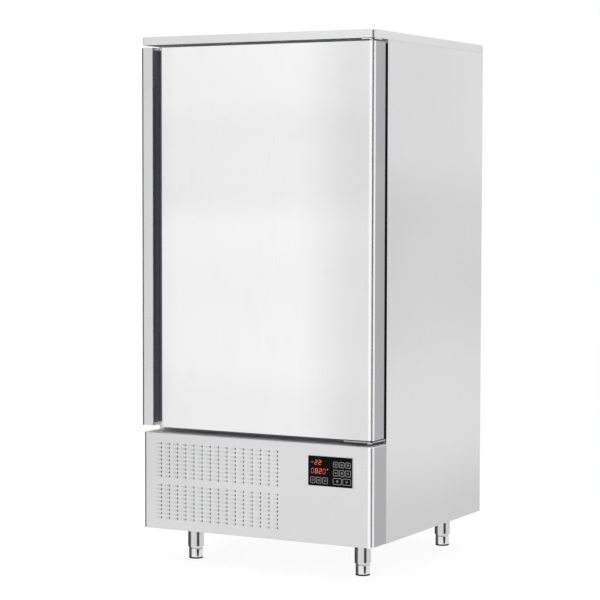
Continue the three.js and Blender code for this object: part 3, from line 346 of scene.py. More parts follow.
class Finish(Tree):
    """A material that is being built on Object coordinates."""

    def __init__(self, name):
        self.material = bpy.data.materials.new(name)
        self.material.use_nodes = True
        super().__init__(self.material.node_tree)
        self.place = self.value("ShaderNodeTexCoord", output="Object")

    def noise(self, per_metre, detail=2.0, shift=0.0):
        """Grey noise with so many grains in a metre along x, y and z."""
        spread = self.value(
            "ShaderNodeVectorMath",
            {"operation": "MULTIPLY_ADD"},
            {0: self.place, 1: per_metre, 2: (shift, shift, shift)},
        )
        return self.value("ShaderNodeTexNoise", None, {"Vector": spread, "Scale": 1.0, "Detail": detail})

    def along(self, axis):
        """Place along an axis."""
        return self.value("ShaderNodeSeparateXYZ", None, {0: self.place}, "XYZ".index(axis))

    def finish(self, colour, roughness, metallic, relief, depth, strength, **more):
        """Ends the material: its relief is a grey pattern, a depth in metres and a strength."""
        bump = self.value(
            "ShaderNodeBump", None, {"Strength": strength, "Distance": depth, "Height": relief}
        )
        sockets = {"Base Color": colour, "Roughness": roughness, "Metallic": metallic, "Normal": bump}
        shader = self.value("ShaderNodeBsdfPrincipled", None, {**sockets, **more})
        self.node("ShaderNodeOutputMaterial", None, {"Surface": shader})
        return self.material


# ------------------------------------------------------------------ finishes


def times(colour, factor):
    """A colour, lighter or darker."""
    return tuple(channel * factor for channel in colour)


def satin_steel(name, colour, roughness, grain, clouds=1.2, spread=(0.9, 0.9, 2.4), painted_shading=()):
    """Brushed stainless sheet: grain lines, soft clouds and faint handling marks.

    Painted shading is a row of (axis, start, end, share), painted shade and painted highlights: from
    start to end the tone falls by the share, or nears white by it where the share is below zero.
    """
    finish = Finish(name)
    across = tuple(6 if way else 420 for way in grain)
    fine = tuple(14 if way else 2400 for way in grain)
    brushing = finish.noise(across, 3.0)
    hair = finish.noise(fine, 2.0, 3.1)
    cloud = finish.noise(spread, 1.0, 7.7)
    marks = finish.noise((21, 21, 13), 3.0, 1.9)
    worn = finish.between(marks, 0.56, 0.74)
    tone = 0.5 + (brushing - 0.5) * 0.20 + (hair - 0.5) * 0.15 + (cloud - 0.5) * clouds
    shade = finish.mix(tone, times(colour, 0.9), times(colour, 1.1))
    # Painted shade and painted highlights laid into the tone, standing in for the light on the sheet.
    for axis, start, end, share in painted_shading:
        goal = (0.0, 0.0, 0.0) if share > 0 else (1.0, 1.0, 1.0)
        shade = finish.mix(finish.between(finish.along(axis), start, end, 0.0, abs(share)), shade, goal)
    gloss = roughness + (brushing - 0.5) * 0.10 + (hair - 0.5) * 0.08 + worn * 0.035
    return finish.finish(shade, gloss, 1.0, brushing + hair * 0.7, 0.02 * MM, 0.16)


def bright_steel(name, colour, roughness):
    """Polished plate, wire and turned feet."""
    finish = Finish(name)
    turned = finish.noise((40, 40, 900), 2.0)
    cloud = finish.noise((30, 30, 30), 2.0, 5.0)
    shade = finish.mix(cloud, times(colour, 0.93), times(colour, 1.04))
    gloss = roughness + (turned - 0.5) * 0.08 + (cloud - 0.5) * 0.06
    return finish.finish(shade, gloss, 1.0, turned, 0.02 * MM, 0.12)


def zinc_sheet(name, colour):
    """Galvanised sheet with its spangle."""
    finish = Finish(name)
    cells = finish.value(
        "ShaderNodeTexVoronoi", {"feature": "F1"}, {"Vector": finish.place, "Scale": 90.0}, "Color"
    )
    spangle = finish.value("ShaderNodeRGBToBW", None, {0: cells})
    cloud = finish.noise((5, 5, 5), 3.0)
    stain = finish.between(finish.noise((11, 11, 4), 4.0, 2.0), 0.58, 0.75)
    shade = finish.mix(spangle * 0.7 + cloud * 0.3, times(colour, 0.82), times(colour, 1.1))
    shade = finish.mix(stain * 0.18, shade, times(colour, 0.66))
    gloss = 0.42 + (spangle - 0.5) * 0.16 + stain * 0.15
    return finish.finish(shade, gloss, 0.85, spangle, 0.03 * MM, 0.12)


def moulded(name, colour, roughness, grain=1500, depth=0.05 * MM, dust=0.12):
    """Moulded plastic or enamel with a fine grain and a little dust."""
    finish = Finish(name)
    texture = finish.noise((grain, grain, grain), 1.0)
    patch = finish.noise((9, 9, 9), 3.0, 4.0)
    film = finish.between(patch, 0.48, 0.78)
    shade = finish.mix(film * dust, colour, tuple(channel * 0.6 + 0.18 for channel in colour))
    gloss = roughness + (patch - 0.5) * 0.14 + (texture - 0.5) * 0.05
    return finish.finish(shade, gloss, 0.0, texture, depth, 0.25)


def foam_fill(name, colour):
    """Rigid foam with its open cells."""
    finish = Finish(name)
    cells = finish.value(
        "ShaderNodeTexVoronoi", {"feature": "F1"}, {"Vector": finish.place, "Scale": 700.0}
    )
    patch = finish.noise((12, 12, 12), 4.0)
    shade = finish.mix(patch, times(colour, 0.86), times(colour, 1.06))
    return finish.finish(shade, 0.92 + (patch - 0.5) * 0.1, 0.0, cells, 0.6 * MM, 0.6)


def soft_rubber(name, colour, roughness, dust=0.25):
    """Gasket and foot rubber, bloomed with use."""
    finish = Finish(name)
    bloom = finish.noise((60, 60, 14), 4.0)
    texture = finish.noise((1800, 1800, 1800), 1.0, 2.0)
    shade = finish.mix(
        finish.between(bloom, 0.45, 0.8) * dust, colour, tuple(channel + 0.10 for channel in colour)
    )
    return finish.finish(shade, roughness + (bloom - 0.5) * 0.2, 0.0, texture, 0.06 * MM, 0.3)


def drawn_copper(name, colour):
    """Copper tube, browned in patches."""
    finish = Finish(name)
    brown = finish.between(finish.noise((26, 26, 26), 4.0), 0.42, 0.68)
    drawing = finish.noise((900, 900, 900), 2.0, 6.0)
    shade = finish.mix(brown * 0.7, colour, (0.30, 0.13, 0.07))
    gloss = 0.28 + brown * 0.22 + (drawing - 0.5) * 0.08
    return finish.finish(shade, gloss, 1.0, drawing, 0.02 * MM, 0.15)


def rolled_fins(name, colour):
    """Thin rolled aluminium with patches of dust."""
    finish = Finish(name)
    rolling = finish.noise((30, 30, 700), 2.0)
    dust = finish.between(finish.noise((8, 8, 8), 3.0, 3.0), 0.45, 0.8)
    shade = finish.mix(dust * 0.3, colour, (0.42, 0.41, 0.39))
    gloss = 0.34 + (rolling - 0.5) * 0.12 + dust * 0.25
    return finish.finish(shade, gloss, 0.9, rolling, 0.03 * MM, 0.2)


def frame_steel(name, shaded, folded):
    """The face frame: its steel darkened as painted shade of the gap behind the door, bare on its left and
    upper rims, darker still on the right rim.
    """
    finish = Finish(name)
    brushing = finish.noise((420, 420, 6), 3.0)
    rim = finish.between(finish.along("X"), -HALF + 16 * MM, -HALF + 14 * MM)
    right = finish.between(finish.along("X"), HALF - 18 * MM, HALF - 14 * MM)
    top = finish.between(finish.along("Z"), DOOR_TOP - 3 * MM, DOOR_TOP - 1 * MM)
    outer = 1 - (1 - rim) * (1 - top)
    # The shaded colour is painted shade; the rims keep the bare steel colour.
    shade = finish.mix(brushing, times(shaded, 0.9), times(shaded, 1.1))
    shade = finish.mix(outer, shade, folded)
    shade = finish.mix(right * (1 - top), shade, times(shaded, 0.08))
    return finish.finish(shade, 0.42 + (brushing - 0.5) * 0.1, 0.6, brushing, 0.02 * MM, 0.15)


def gloss_film(name, colour):
    """Gloss black keypad film with faint finger marks."""
    finish = Finish(name)
    touch = finish.between(finish.noise((70, 70, 95), 3.0), 0.52, 0.72)
    flow = finish.noise((240, 240, 240), 1.0, 2.0)
    shade = finish.mix(touch * 0.18, colour, (0.02, 0.02, 0.022))
    return finish.finish(
        shade, 0.26 + touch * 0.12, 0.0, flow, 0.02 * MM, 0.08, **{"Specular IOR Level": 0.06}
    )


def groove_lining(name, colour, deep):
    """Moulded lining, paler at the back of the groove and near its two ends as painted light."""
    finish = Finish(name)
    texture = finish.noise((1100, 1100, 1100), 1.0)
    patch = finish.noise((9, 9, 5), 3.0, 4.0)
    inwards = finish.between(finish.along("Y"), -404 * MM, -380 * MM)
    low_end_painted_light = finish.between(finish.along("Z"), 0.95, 0.50)
    top_end_painted_light = finish.between(finish.along("Z"), 1.42, 1.60)
    # Painted light: the back of the groove and its two ends are made paler.
    shade = finish.mix(inwards * 0.9, colour, deep)
    shade = finish.mix(low_end_painted_light * 0.2 + top_end_painted_light * 0.3 + patch * 0.1, shade, (0.19, 0.19, 0.22))
    return finish.finish(shade, 0.35 + (patch - 0.5) * 0.14, 0.0, texture, 0.08 * MM, 0.25)


def lit_segment(name, colour, strength):
    """Lit display segments with a slightly uneven glow."""
    finish = Finish(name)
    spots = finish.noise((420, 420, 420), 1.0)
    shade = finish.mix(finish.between(spots, 0.3, 0.7), times(colour, 0.86), colour)
    return finish.finish(
        shade, 0.35 + (spots - 0.5) * 0.1, 0.0, spots, 0.02 * MM, 0.05,
        **{"Emission Color": shade, "Emission Strength": strength},
    )


def printed_line(name, colour):
    """Print on the film."""
    finish = Finish(name)
    grain = finish.noise((900, 900, 900), 2.0)
    shade = finish.mix(grain, times(colour, 0.85), times(colour, 1.15))
    return finish.finish(shade, 0.35 + (grain - 0.5) * 0.12, 0.0, grain, 0.01 * MM, 0.1)


def make_finishes(settings):
    """Every finish, by name."""
    upright, level = (0, 0, 1), (1, 0, 0)
    steel = tuple(settings.steel)
    panel = tuple(settings.panel)
    rough = settings.roughness
    # Painted shade and painted highlights of the door, the sides and the right front bends: heights in
    # metres, places across in millimetres.
    bend_glint = (("X", 384 * MM, 387 * MM, -0.9),)
    door_painted_shading = (
        ("Z", 1.33, 1.46, -0.45), ("Z", 1.17, 1.05, -0.60), ("Z", 0.66, 0.52, 0.05),
        ("X", 130 * MM, 360 * MM, 0.17), ("X", -270 * MM, -340 * MM, 0.05),
    ) + bend_glint
    side_painted_shading = (("Z", 1.32, 1.08, 0.11), ("Z", 0.95, 0.46, -0.26), ("Z", 0.42, 0.14, 0.16))
    return {
        "steel": satin_steel("satin_steel", steel, rough, upright),
        "steel_door": satin_steel(
            "satin_steel_door", times(steel, 0.975), rough, upright, 1.3, (0.5, 0.5, 2.6), door_painted_shading
        ),
        "steel_panel": satin_steel("satin_steel_panel", panel, rough, level, painted_shading=bend_glint),
        # The hoods are the panel's steel painted a fifth lighter: painted light on their sloped faces.
        "steel_hood_painted_light": satin_steel("satin_steel_hood", times(panel, 1.2), rough + 0.05, level, 0.4),
        "steel_strip": satin_steel("satin_steel_strip", tuple(settings.strip), rough - 0.04, upright, 0.6),
        "steel_leg": satin_steel("satin_steel_leg", times(steel, 0.72), 0.19, level, 0.3),
        # The side panels: darker steel as painted shade, with painted shading by height.
        "steel_side": satin_steel(
            "satin_steel_side", tuple(settings.side), rough, upright, 0.9, (0.5, 0.9, 1.6), side_painted_shading
        ),
        "steel_cover": satin_steel("satin_steel_cover", tuple(settings.cover), rough, level),
        # The returns: darker steel as painted shade.
        "steel_return_shaded": satin_steel("satin_steel_return", tuple(settings.edge), rough + 0.06, upright),
        "steel_liner": satin_steel("satin_steel_liner", times(steel, 0.92), rough + 0.03, upright),
        "bright": bright_steel("bright_steel", (0.80, 0.80, 0.81), 0.17),
        "frame": frame_steel("frame_steel", (0.42, 0.42, 0.45), (0.85, 0.85, 0.86)),
        # The lower hinge's plate: the same steel darkened as painted shade.
        "hinge": bright_steel("hinge_steel", (0.36, 0.36, 0.38), 0.22),
        # The lower panel's top flange: a pale matt stand-in for its steel, painted light in the shade under
        # the door.
        "fold": moulded("folded_edge", (0.86, 0.86, 0.87), 0.42, 700, 0.02 * MM, 0.05),
        "zinc": zinc_sheet("zinc_sheet", (0.60, 0.62, 0.63)),
        "foam": foam_fill("rigid_foam", (0.80, 0.66, 0.38)),
        "film": gloss_film("keypad_film", (0.0025, 0.0025, 0.003)),
        "black": moulded("black_plastic", (0.022, 0.022, 0.025), 0.46),
        "cap": moulded("end_cap_plastic", (0.50, 0.50, 0.52), 0.50),
        "gasket": soft_rubber("gasket_rubber", (0.020, 0.020, 0.023), 0.62, 0.15),
        "rubber": soft_rubber("foot_rubber", (0.014, 0.014, 0.014), 0.72),
        # The groove lining's paler second colour is painted light.
        "grip": groove_lining("groove_lining", (0.034, 0.034, 0.046), (0.20, 0.20, 0.235)),
        "copper": drawn_copper("drawn_copper", (0.66, 0.30, 0.17)),
        "fins": rolled_fins("rolled_fins", (0.70, 0.71, 0.72)),
        "enamel": moulded("compressor_enamel", (0.012, 0.013, 0.014), 0.30, 500, 0.15 * MM, 0.18),
    }


FINISHES = {}

CAD_FINISHES = {
    "base_pan": "zinc",
    "back_panel": "zinc",
    "compartment_deck": "zinc",
    "condensate_tray": "zinc",
    "condenser_shroud": "zinc",
    "face_frame": "frame",
    "insulation_foam": "foam",
    "door_foam": "foam",
    "door_cap_top": "cap",
    "door_cap_bottom": "cap",
    "drain_pipe": "cap",
    "door_bush_top": "black",
    "door_bush_bottom": "black",
    "control_box": "black",
    "cable_gland": "black",
    "fan_motor_lower": "black",
    "fan_motor_upper": "black",
    "condenser_fan_motor": "black",
    "hinge_pin_top": "bright",
    "hinge_pin_bottom": "bright",
    "compressor": "enamel",
    "liquid_receiver": "enamel",
    "suction_line": "copper",
    "discharge_line": "copper",
    "liquid_line": "copper",
    "evaporator_coil": "fins",
    "condenser_coil": "fins",
    "condenser_fan_rotor": "fins",
    "fan_panel": "steel_liner",
    "drip_pan": "steel_liner",
}


# ------------------------------------------------------------------ meshes


def right_of(way):
    """A plan direction's right-hand side, seen from above."""
    return Vector((way.y, -way.x))


def rounded_path(corners, radii, closed=False):
    """Points of a plan path with rounded corners, each with its normal to the right-hand side."""
    steps = 10
    lead = 0.8 * MM
    points = []
    last = len(corners) - 1
    for i, corner in enumerate(corners):
        here = Vector(corner)
        into = (here - Vector(corners[i - 1])).normalized()
        out = (Vector(corners[(i + 1) % len(corners)]) - here).normalized()
        if not closed and i in (0, last):
            points.append((here, right_of(out if i == 0 else into)))
            continue
        first, second = right_of(into), right_of(out)
        if not radii[i]:
            points.append((here, (first + second) / (1 + first.dot(second))))
            continue
        turn = math.atan2(into.x * out.y - into.y * out.x, into.dot(out))
        run = radii[i] * math.tan(abs(turn) / 2)
        side = -1 if turn > 0 else 1
        centre = here - into * run + first * side * radii[i]
        points.append((here - into * (run + lead), first))
        for k in range(steps + 1):
            normal = Matrix.Rotation(turn * k / steps, 2) @ first
            points.append((centre - normal * side * radii[i], normal))
        points.append((here + out * (run + lead), second))
    return points


def with_stops(path, places):
    """The path with more points on its straight runs along x."""
    stops = sorted(places)
    points = [path[0]]
    for (here, normal), (there, after) in zip(path, path[1:]):
        if (normal - after).length < 1e-6 and abs(here.y - there.y) < 1e-7:
            inside = [x for x in stops if min(here.x, there.x) < x < max(here.x, there.x)]
            if here.x > there.x:
                inside.reverse()
            points += [(Vector((x, here.y)), normal) for x in inside]
        points.append((there, after))
    return points


def moved(path, distance):
    """The path's points, moved to its right-hand side or, below zero, to its left."""
    return [point + normal * distance for point, normal in path]


def ring_at(path, distance, z):
    """The moved path at a height."""
    return [Vector((p.x, p.y, z)) for p in moved(path, distance)]


def surface(mesh, rings, closed=False, skip=None):
    """Faces between rings. Seen from above the rings run clockwise, and they climb."""
    rows = [[mesh.verts.new(point) for point in ring] for ring in rings]
    count = len(rows[0])
    for k in range(len(rows) - 1):
        for i in range(count if closed else count - 1):
            j = (i + 1) % count
            if skip and skip((rows[k][i].co + rows[k + 1][j].co) / 2):
                continue
            mesh.faces.new((rows[k][i], rows[k + 1][i], rows[k + 1][j], rows[k][j]))
    return rows


def bend(radius, start, end, steps=5):
    """(inset, rise) pairs of a quarter bend between two directions, in degrees from the level."""
    for k in range(steps + 1):
        angle = math.radians(start + (end - start) * k / steps)
        yield radius * (1 - math.cos(angle)), radius * math.sin(angle)


def new_object(name, data):
    """An object in the scene."""
    made = bpy.data.objects.new(name, data)
    bpy.context.scene.collection.objects.link(made)
    return made


def plain_mesh(name, mesh):
    """Mesh data of a finished bmesh, which is freed."""
    data = bpy.data.meshes.new(name)
    mesh.to_mesh(data)
    mesh.free()
    return data


def piece(name, mesh, finishes, sharp=35.0):
    """A new object of a mesh, smooth but for its sharp edges."""
    data = plain_mesh(name, mesh)
    made = new_object(name, data)
    for finish in finishes:
        data.materials.append(FINISHES[finish])
    crease(made, sharp)
    return made


def crease(made, sharp=35.0):
    """Shades an object smooth, but for edges sharper than an angle in degrees."""
    made.data.shade_smooth()
    made.data.set_sharp_from_angle(angle=math.radians(sharp))


def settle(made):
    """Turns an object's modifiers into its plain mesh."""
    graph = bpy.context.evaluated_depsgraph_get()
    graph.update()
    plain = bpy.data.meshes.new_from_object(
        made.evaluated_get(graph), preserve_all_data_layers=True, depsgraph=graph
    )
    made.modifiers.clear()
    made.data = plain
    crease(made)
    return made


def thicken(made, thickness):
    """Gives a sheet its thickness, inwards."""
    solid = made.modifiers.new("thickness", "SOLIDIFY")
    solid.thickness = thickness
    solid.offset = -1
    solid.use_even_offset = True
    return made


def soften(made, width):
    """Rounds an object's sharp edges."""
    edge = made.modifiers.new("edge", "BEVEL")
    edge.width = width
    edge.segments = 2
    edge.limit_method = "ANGLE"
    edge.angle_limit = math.radians(40)
    return made


def solid_block(mesh, lowest, highest):
    """A closed box in a mesh."""
    lowest, highest = Vector(lowest), Vector(highest)
    size = highest - lowest
    for vert in bmesh.ops.create_cube(mesh, size=1.0)["verts"]:
        vert.co = Vector(vert.co[i] * size[i] + (lowest[i] + highest[i]) / 2 for i in range(3))


def turned_solid(mesh, profile, centre):
    """A closed solid of (radius, z) pairs about an upright axis."""
    sides = 56
    turns = [2 * math.pi * i / sides for i in range(sides)]
    rows = []
    for radius, z in profile:
        around = [(math.cos(turn), math.sin(turn)) for turn in turns] if radius else [(0.0, 0.0)]
        rows.append(
            [mesh.verts.new((centre[0] + radius * x, centre[1] + radius * y, z)) for x, y in around]
        )
    for lower, upper in zip(rows, rows[1:]):
        for i in range(sides):
            j = (i + 1) % sides
            if len(lower) == 1 and len(upper) == 1:
                continue
            if len(lower) == 1:
                mesh.faces.new((lower[0], upper[j], upper[i]))
            elif len(upper) == 1:
                mesh.faces.new((lower[i], lower[j], upper[0]))
            else:
                mesh.faces.new((lower[i], lower[j], upper[j], upper[i]))


def slab(mesh, first, second):
    """A closed solid between two like outlines."""
    rows = [[mesh.verts.new(point) for point in outline] for outline in (first, second)]
    mesh.faces.new(rows[0])
    mesh.faces.new(rows[1][::-1])
    count = len(rows[0])
    for i in range(count):
        j = (i + 1) % count
        mesh.faces.new((rows[0][i], rows[0][j], rows[1][j], rows[1][i]))


def round_bar(mesh, points, radius, sides):
    """A round bar through points."""
    rows = []
    last = len(points) - 1
    side = None
    for i, point in enumerate(points):
        way = (points[min(i + 1, last)] - points[max(i - 1, 0)]).normalized()
        if side is None:
            side = way.orthogonal().normalized()
        side = (side - way * side.dot(way)).normalized()
        other = way.cross(side)
        row = []
        for k in range(sides):
            turn = 2 * math.pi * k / sides
            row.append(mesh.verts.new(point + (side * math.cos(turn) + other * math.sin(turn)) * radius))
        rows.append(row)
    for a, b in zip(rows, rows[1:]):
        for k in range(sides):
            j = (k + 1) % sides
            mesh.faces.new((a[k], a[j], b[j], b[k]))
    mesh.faces.new(rows[0][::-1])
    mesh.faces.new(rows[-1])


def rounded_ring(x0, x1, z0, z1, y, radius):
    """A rounded rectangle in an upright plane that faces along y."""
    steps = 6
    points = []
    for cx, cz, start in (
        (x1 - radius, z1 - radius, 0),
        (x0 + radius, z1 - radius, 90),
        (x0 + radius, z0 + radius, 180),
        (x1 - radius, z0 + radius, 270),
    ):
        for k in range(steps + 1):
            angle = math.radians(start + 90 * k / steps)
            points.append(Vector((cx + radius * math.cos(angle), y, cz + radius * math.sin(angle))))
    return points


def outward(mesh):
    """Turns a mesh's faces outwards."""
    bmesh.ops.recalc_face_normals(mesh, faces=mesh.faces[:])


def outward_from(mesh, cap, way):
    """Turns an open skin's faces so that its cap looks along a direction."""
    outward(mesh)
    mesh.normal_update()
    if cap.normal.dot(way) < 0:
        bmesh.ops.reverse_faces(mesh, faces=mesh.faces[:])


def paint_return_shade(made):
    """Gives the faces that look sideways the second finish: a darker steel, painted shade."""
    for face in made.data.polygons:
        if abs(face.normal.x) > 0.97 and abs(face.center.x) > HALF - 0.2 * MM:
            face.material_index = 1


def softened_copy(node, name, finish, width):
    """A CAD node's shape with its edges rounded."""
    mesh = bmesh.new()
    mesh.from_mesh(NODES[node].data)
    bmesh.ops.remove_doubles(mesh, verts=mesh.verts[:], dist=0.01 * MM)
    bmesh.ops.dissolve_limit(
        mesh, angle_limit=math.radians(1), verts=mesh.verts[:], edges=mesh.edges[:]
    )
    outward(mesh)
    return settle(soften(piece(name, mesh, [finish]), width))


def put(made, body, slot, *replaced):
    """Says what a piece moves with and which solids it stands for; its slot is not used."""
    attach(made, body)
    if replaced:
        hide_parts(*replaced)


# ------------------------------------------------------------------ repeated pieces


NO_STEP = (0.0, 0.0, 0.0)


class Pattern(Tree):
    """A Geometry Nodes tree with named inputs, and its use on an object."""

    KINDS = {"length": "NodeSocketFloat", "count": "NodeSocketInt", "step": "NodeSocketVector"}

    def __init__(self, name, inputs):
        group = bpy.data.node_groups.new(name, "GeometryNodeTree")
        super().__init__(group)
        self.keys = {}
        group.interface.new_socket("Geometry", in_out="INPUT", socket_type="NodeSocketGeometry")
        group.interface.new_socket("Geometry", in_out="OUTPUT", socket_type="NodeSocketGeometry")
        for label, kind in inputs.items():
            made = group.interface.new_socket(label, in_out="INPUT", socket_type=self.KINDS[kind])
            self.keys[label] = made.identifier
        self.entry = self.node("NodeGroupInput")

    def input(self, label):
        return Value(self, self.entry.outputs[label])

    def line(self, count, step, start=NO_STEP):
        """Points a step apart."""
        return self.value(
            "GeometryNodeMeshLine",
            {"mode": "OFFSET"},
            {"Count": count, "Offset": step, "Start Location": start},
        )

    def moved(self, shape, place):
        return self.value("GeometryNodeTransform", None, {0: shape, "Translation": place})

    def close(self, shape, finish):
        """Ends the tree: real copies, smooth faces and a material."""
        real = self.value("GeometryNodeRealizeInstances", None, {0: shape})
        smooth = self.value("GeometryNodeSetShadeSmooth", None, {0: real})
        dressed = self.value(
            "GeometryNodeSetMaterial", None, {0: smooth, "Material": FINISHES[finish]}
        )
        self.node("NodeGroupOutput", None, {0: dressed})
        return self

    def apply(self, made, **sizes):
        """Runs the tree on an object with these inputs and keeps its mesh."""
        modifier = made.modifiers.new("pattern", "NODES")
        modifier.node_group = self.tree
        for label, value in sizes.items():
            modifier[self.keys[label.replace("_", " ")]] = value
        return settle(made)


def row_pattern(name, finish):
    """Copies of a mesh in a straight row."""
    pattern = Pattern(name, {"Copies": "count", "Step": "step"})
    line = pattern.line(pattern.input("Copies"), pattern.input("Step"))
    copies = pattern.value(
        "GeometryNodeInstanceOnPoints", None, {"Points": line, "Instance": pattern.input("Geometry")}
    )
    return pattern.close(copies, finish)


def wheel_pattern(name, finish):
    """Copies of a mesh round the Y axis through a point."""
    pattern = Pattern(name, {"Copies": "count", "Centre": "step"})
    count = pattern.input("Copies")
    line = pattern.line(count, NO_STEP)
    index = pattern.value("GeometryNodeInputIndex")
    angle = index * (2 * math.pi) / count
    turn = pattern.value("ShaderNodeCombineXYZ", None, {"Y": angle})
    copies = pattern.value(
        "GeometryNodeInstanceOnPoints",
        None,
        {"Points": line, "Instance": pattern.input("Geometry"), "Rotation": turn},
    )
    placed = pattern.moved(copies, pattern.input("Centre"))
    return pattern.close(placed, finish)


def guard_pattern(name, finish):
    """Rings of wire about the Y axis through a point."""
    pattern = Pattern(name, {"Rings": "count", "Spacing": "length", "Wire": "length", "Centre": "step"})
    line = pattern.line(pattern.input("Rings"), NO_STEP)
    index = pattern.value("GeometryNodeInputIndex")
    reach = (index + 1) * pattern.input("Spacing")
    size = pattern.value("ShaderNodeCombineXYZ", None, {0: reach, 1: reach, 2: reach})
    ring = pattern.value("GeometryNodeCurvePrimitiveCircle", None, {"Resolution": 64, "Radius": 1.0})
    rings = pattern.value(
        "GeometryNodeInstanceOnPoints",
        None,
        {"Points": line, "Instance": ring, "Scale": size, "Rotation": (math.pi / 2, 0.0, 0.0)},
    )
    real = pattern.value("GeometryNodeRealizeInstances", None, {0: rings})
    section = pattern.value(
        "GeometryNodeCurvePrimitiveCircle", None, {"Resolution": 8, "Radius": pattern.input("Wire")}
    )
    wire = pattern.value("GeometryNodeCurveToMesh", None, {"Curve": real, "Profile Curve": section})
    placed = pattern.moved(wire, pattern.input("Centre"))
    both = pattern.node("GeometryNodeJoinGeometry")
    pattern.tree.links.new(placed.socket, both.inputs[0])
    pattern.tree.links.new(pattern.input("Geometry").socket, both.inputs[0])
    return pattern.close(Value(pattern, both.outputs[0]), finish)


def hood_pattern(name, finish):
    """Blocks of pressed hoods, open towards +x, on an upright face."""
    pattern = Pattern(
        name,
        {
            "Columns": "count", "Rows": "count", "Blocks": "count",
            "Pitch x": "length", "Pitch z": "length", "Block step": "length", "Length": "length",
            "Half height": "length", "Rise": "length", "Sheet": "length", "Start": "step",
        },
    )
    step_x = pattern.value("ShaderNodeCombineXYZ", None, {"X": pattern.input("Pitch x")})
    step_z = pattern.value("ShaderNodeCombineXYZ", None, {"Z": pattern.input("Pitch z")})
    step_block = pattern.value("ShaderNodeCombineXYZ", None, {"Z": pattern.input("Block step")})
    across = pattern.line(pattern.input("Columns"), step_x)
    up = pattern.line(pattern.input("Rows"), step_z)
    block = pattern.line(pattern.input("Blocks"), step_block, pattern.input("Start"))
    rows = pattern.value("GeometryNodeInstanceOnPoints", None, {"Points": block, "Instance": up})
    rows = pattern.value("GeometryNodeRealizeInstances", None, {0: rows})
    places = pattern.value("GeometryNodeInstanceOnPoints", None, {"Points": rows, "Instance": across})
    places = pattern.value("GeometryNodeRealizeInstances", None, {0: places})

    sheet = pattern.value(
        "GeometryNodeMeshCube",
        None,
        {"Size": (1.0, 1.0, 1.0), "Vertices X": 8, "Vertices Y": 2, "Vertices Z": 9},
    )
    position = pattern.value("GeometryNodeInputPosition")
    parts = pattern.node("ShaderNodeSeparateXYZ", None, {0: position})
    along = Value(pattern, parts.outputs[0]) + 0.5
    deep = Value(pattern, parts.outputs[1]) + 0.5
    wide = Value(pattern, parts.outputs[2]) * 2
    arch = 1 - wide * wide * wide * wide
    slope = along ** 1.15
    rise = slope * arch * pattern.input("Rise")
    shape = pattern.value(
        "ShaderNodeCombineXYZ",
        None,
        {
            "X": along * pattern.input("Length"),
            "Y": deep * pattern.input("Sheet") - rise + 0.03 * MM,
            "Z": wide * pattern.input("Half height"),
        },
    )
    hood = pattern.value("GeometryNodeSetPosition", None, {0: sheet, "Position": shape})
    hoods = pattern.value("GeometryNodeInstanceOnPoints", None, {"Points": places, "Instance": hood})
    return pattern.close(hoods, finish)


def empty_mesh(name):
    """An object without faces, for a pattern to fill."""
    return new_object(name, bpy.data.meshes.new(name))


def joined(name, pieces):
    """One object of several, at the origin."""
    mesh = bmesh.new()
    finishes = []
    for part in pieces:
        shift = len(finishes)
        finishes += [slot.material for slot in part.material_slots]
        first = len(mesh.faces)
        mesh.from_mesh(part.data)
        mesh.faces.ensure_lookup_table()
        for face in mesh.faces[first:]:
            face.material_index += shift
        bpy.data.objects.remove(part)
    data = plain_mesh(name, mesh)
    for finish in finishes:
        data.materials.append(finish)
    made = new_object(name, data)
    crease(made)
    return made


# ------------------------------------------------------------------ operators


class BuildFinishes(Operator):
    """Make the finishes and dress the solids that stay in view"""

    bl_idname = "chiller.finishes"
    bl_label = "Finishes"

    def execute(self, context):
        FINISHES.update(make_finishes(context.scene.chiller_finishes))
        for node, finish in CAD_FINISHES.items():
            made = NODES[node]
            if not made.material_slots:
                made.data.materials.append(FINISHES[finish])
            for slot in made.material_slots:
                slot.material = FINISHES[finish]
        return {"FINISHED"}


class BuildCabinet(Operator):
    """Build the top cover and the side panels"""

    bl_idname = "chiller.cabinet"
    bl_label = "Cabinet"

    def execute(self, context):
        sheets = context.scene.chiller_sheets
        self.cover(sheets)
        for side, sign in (("left", -1), ("right", 1)):
            self.side_panel(side, sign, sheets)
        return {"FINISHED"}

    def cover(self, sheets):
        corners = [(HALF, BACK), (HALF, FACE), (-HALF, FACE), (-HALF, BACK)]
        path = rounded_path(corners, [3 * MM, sheets.corner, 3 * MM, 3 * MM], closed=True)
        fold = sheets.fold
        mesh = bmesh.new()
        rings = [ring_at(path, 0, COVER_LOW), ring_at(path, 0, COVER_TOP - fold - 0.8 * MM)]
        rings += [ring_at(path, inset, COVER_TOP - fold + rise) for inset, rise in bend(fold, 0, 90)]
        rings.append(ring_at(path, fold + 0.4 * MM, COVER_TOP))
        rows = surface(mesh, rings, closed=True)
        mesh.faces.new(rows[-1][::-1])
        made = piece("cover", mesh, ["steel_cover"])
        settle(thicken(made, sheets.thickness))
        put(made, "cabinet", "stainless", "top_cover")

    def side_panel(self, side, sign, sheets):
        node = f"side_panel_{side}"
        bottom, top = low(node).z, high(node).z
        flange = 20 * MM
        corners = [(sign * (HALF - flange), BACK), (sign * HALF, BACK), (sign * HALF, FRAME_FRONT)]
        if sign < 0:
            corners.reverse()
        path = rounded_path(corners, [0, 2.5 * MM, 0])
        mesh = bmesh.new()
        surface(mesh, [ring_at(path, 0, bottom), ring_at(path, 0, top)])
        made = piece(f"side_{side}", mesh, ["steel_side"])
        settle(thicken(made, sheets.thickness))
        put(made, "cabinet", "stainless", node)


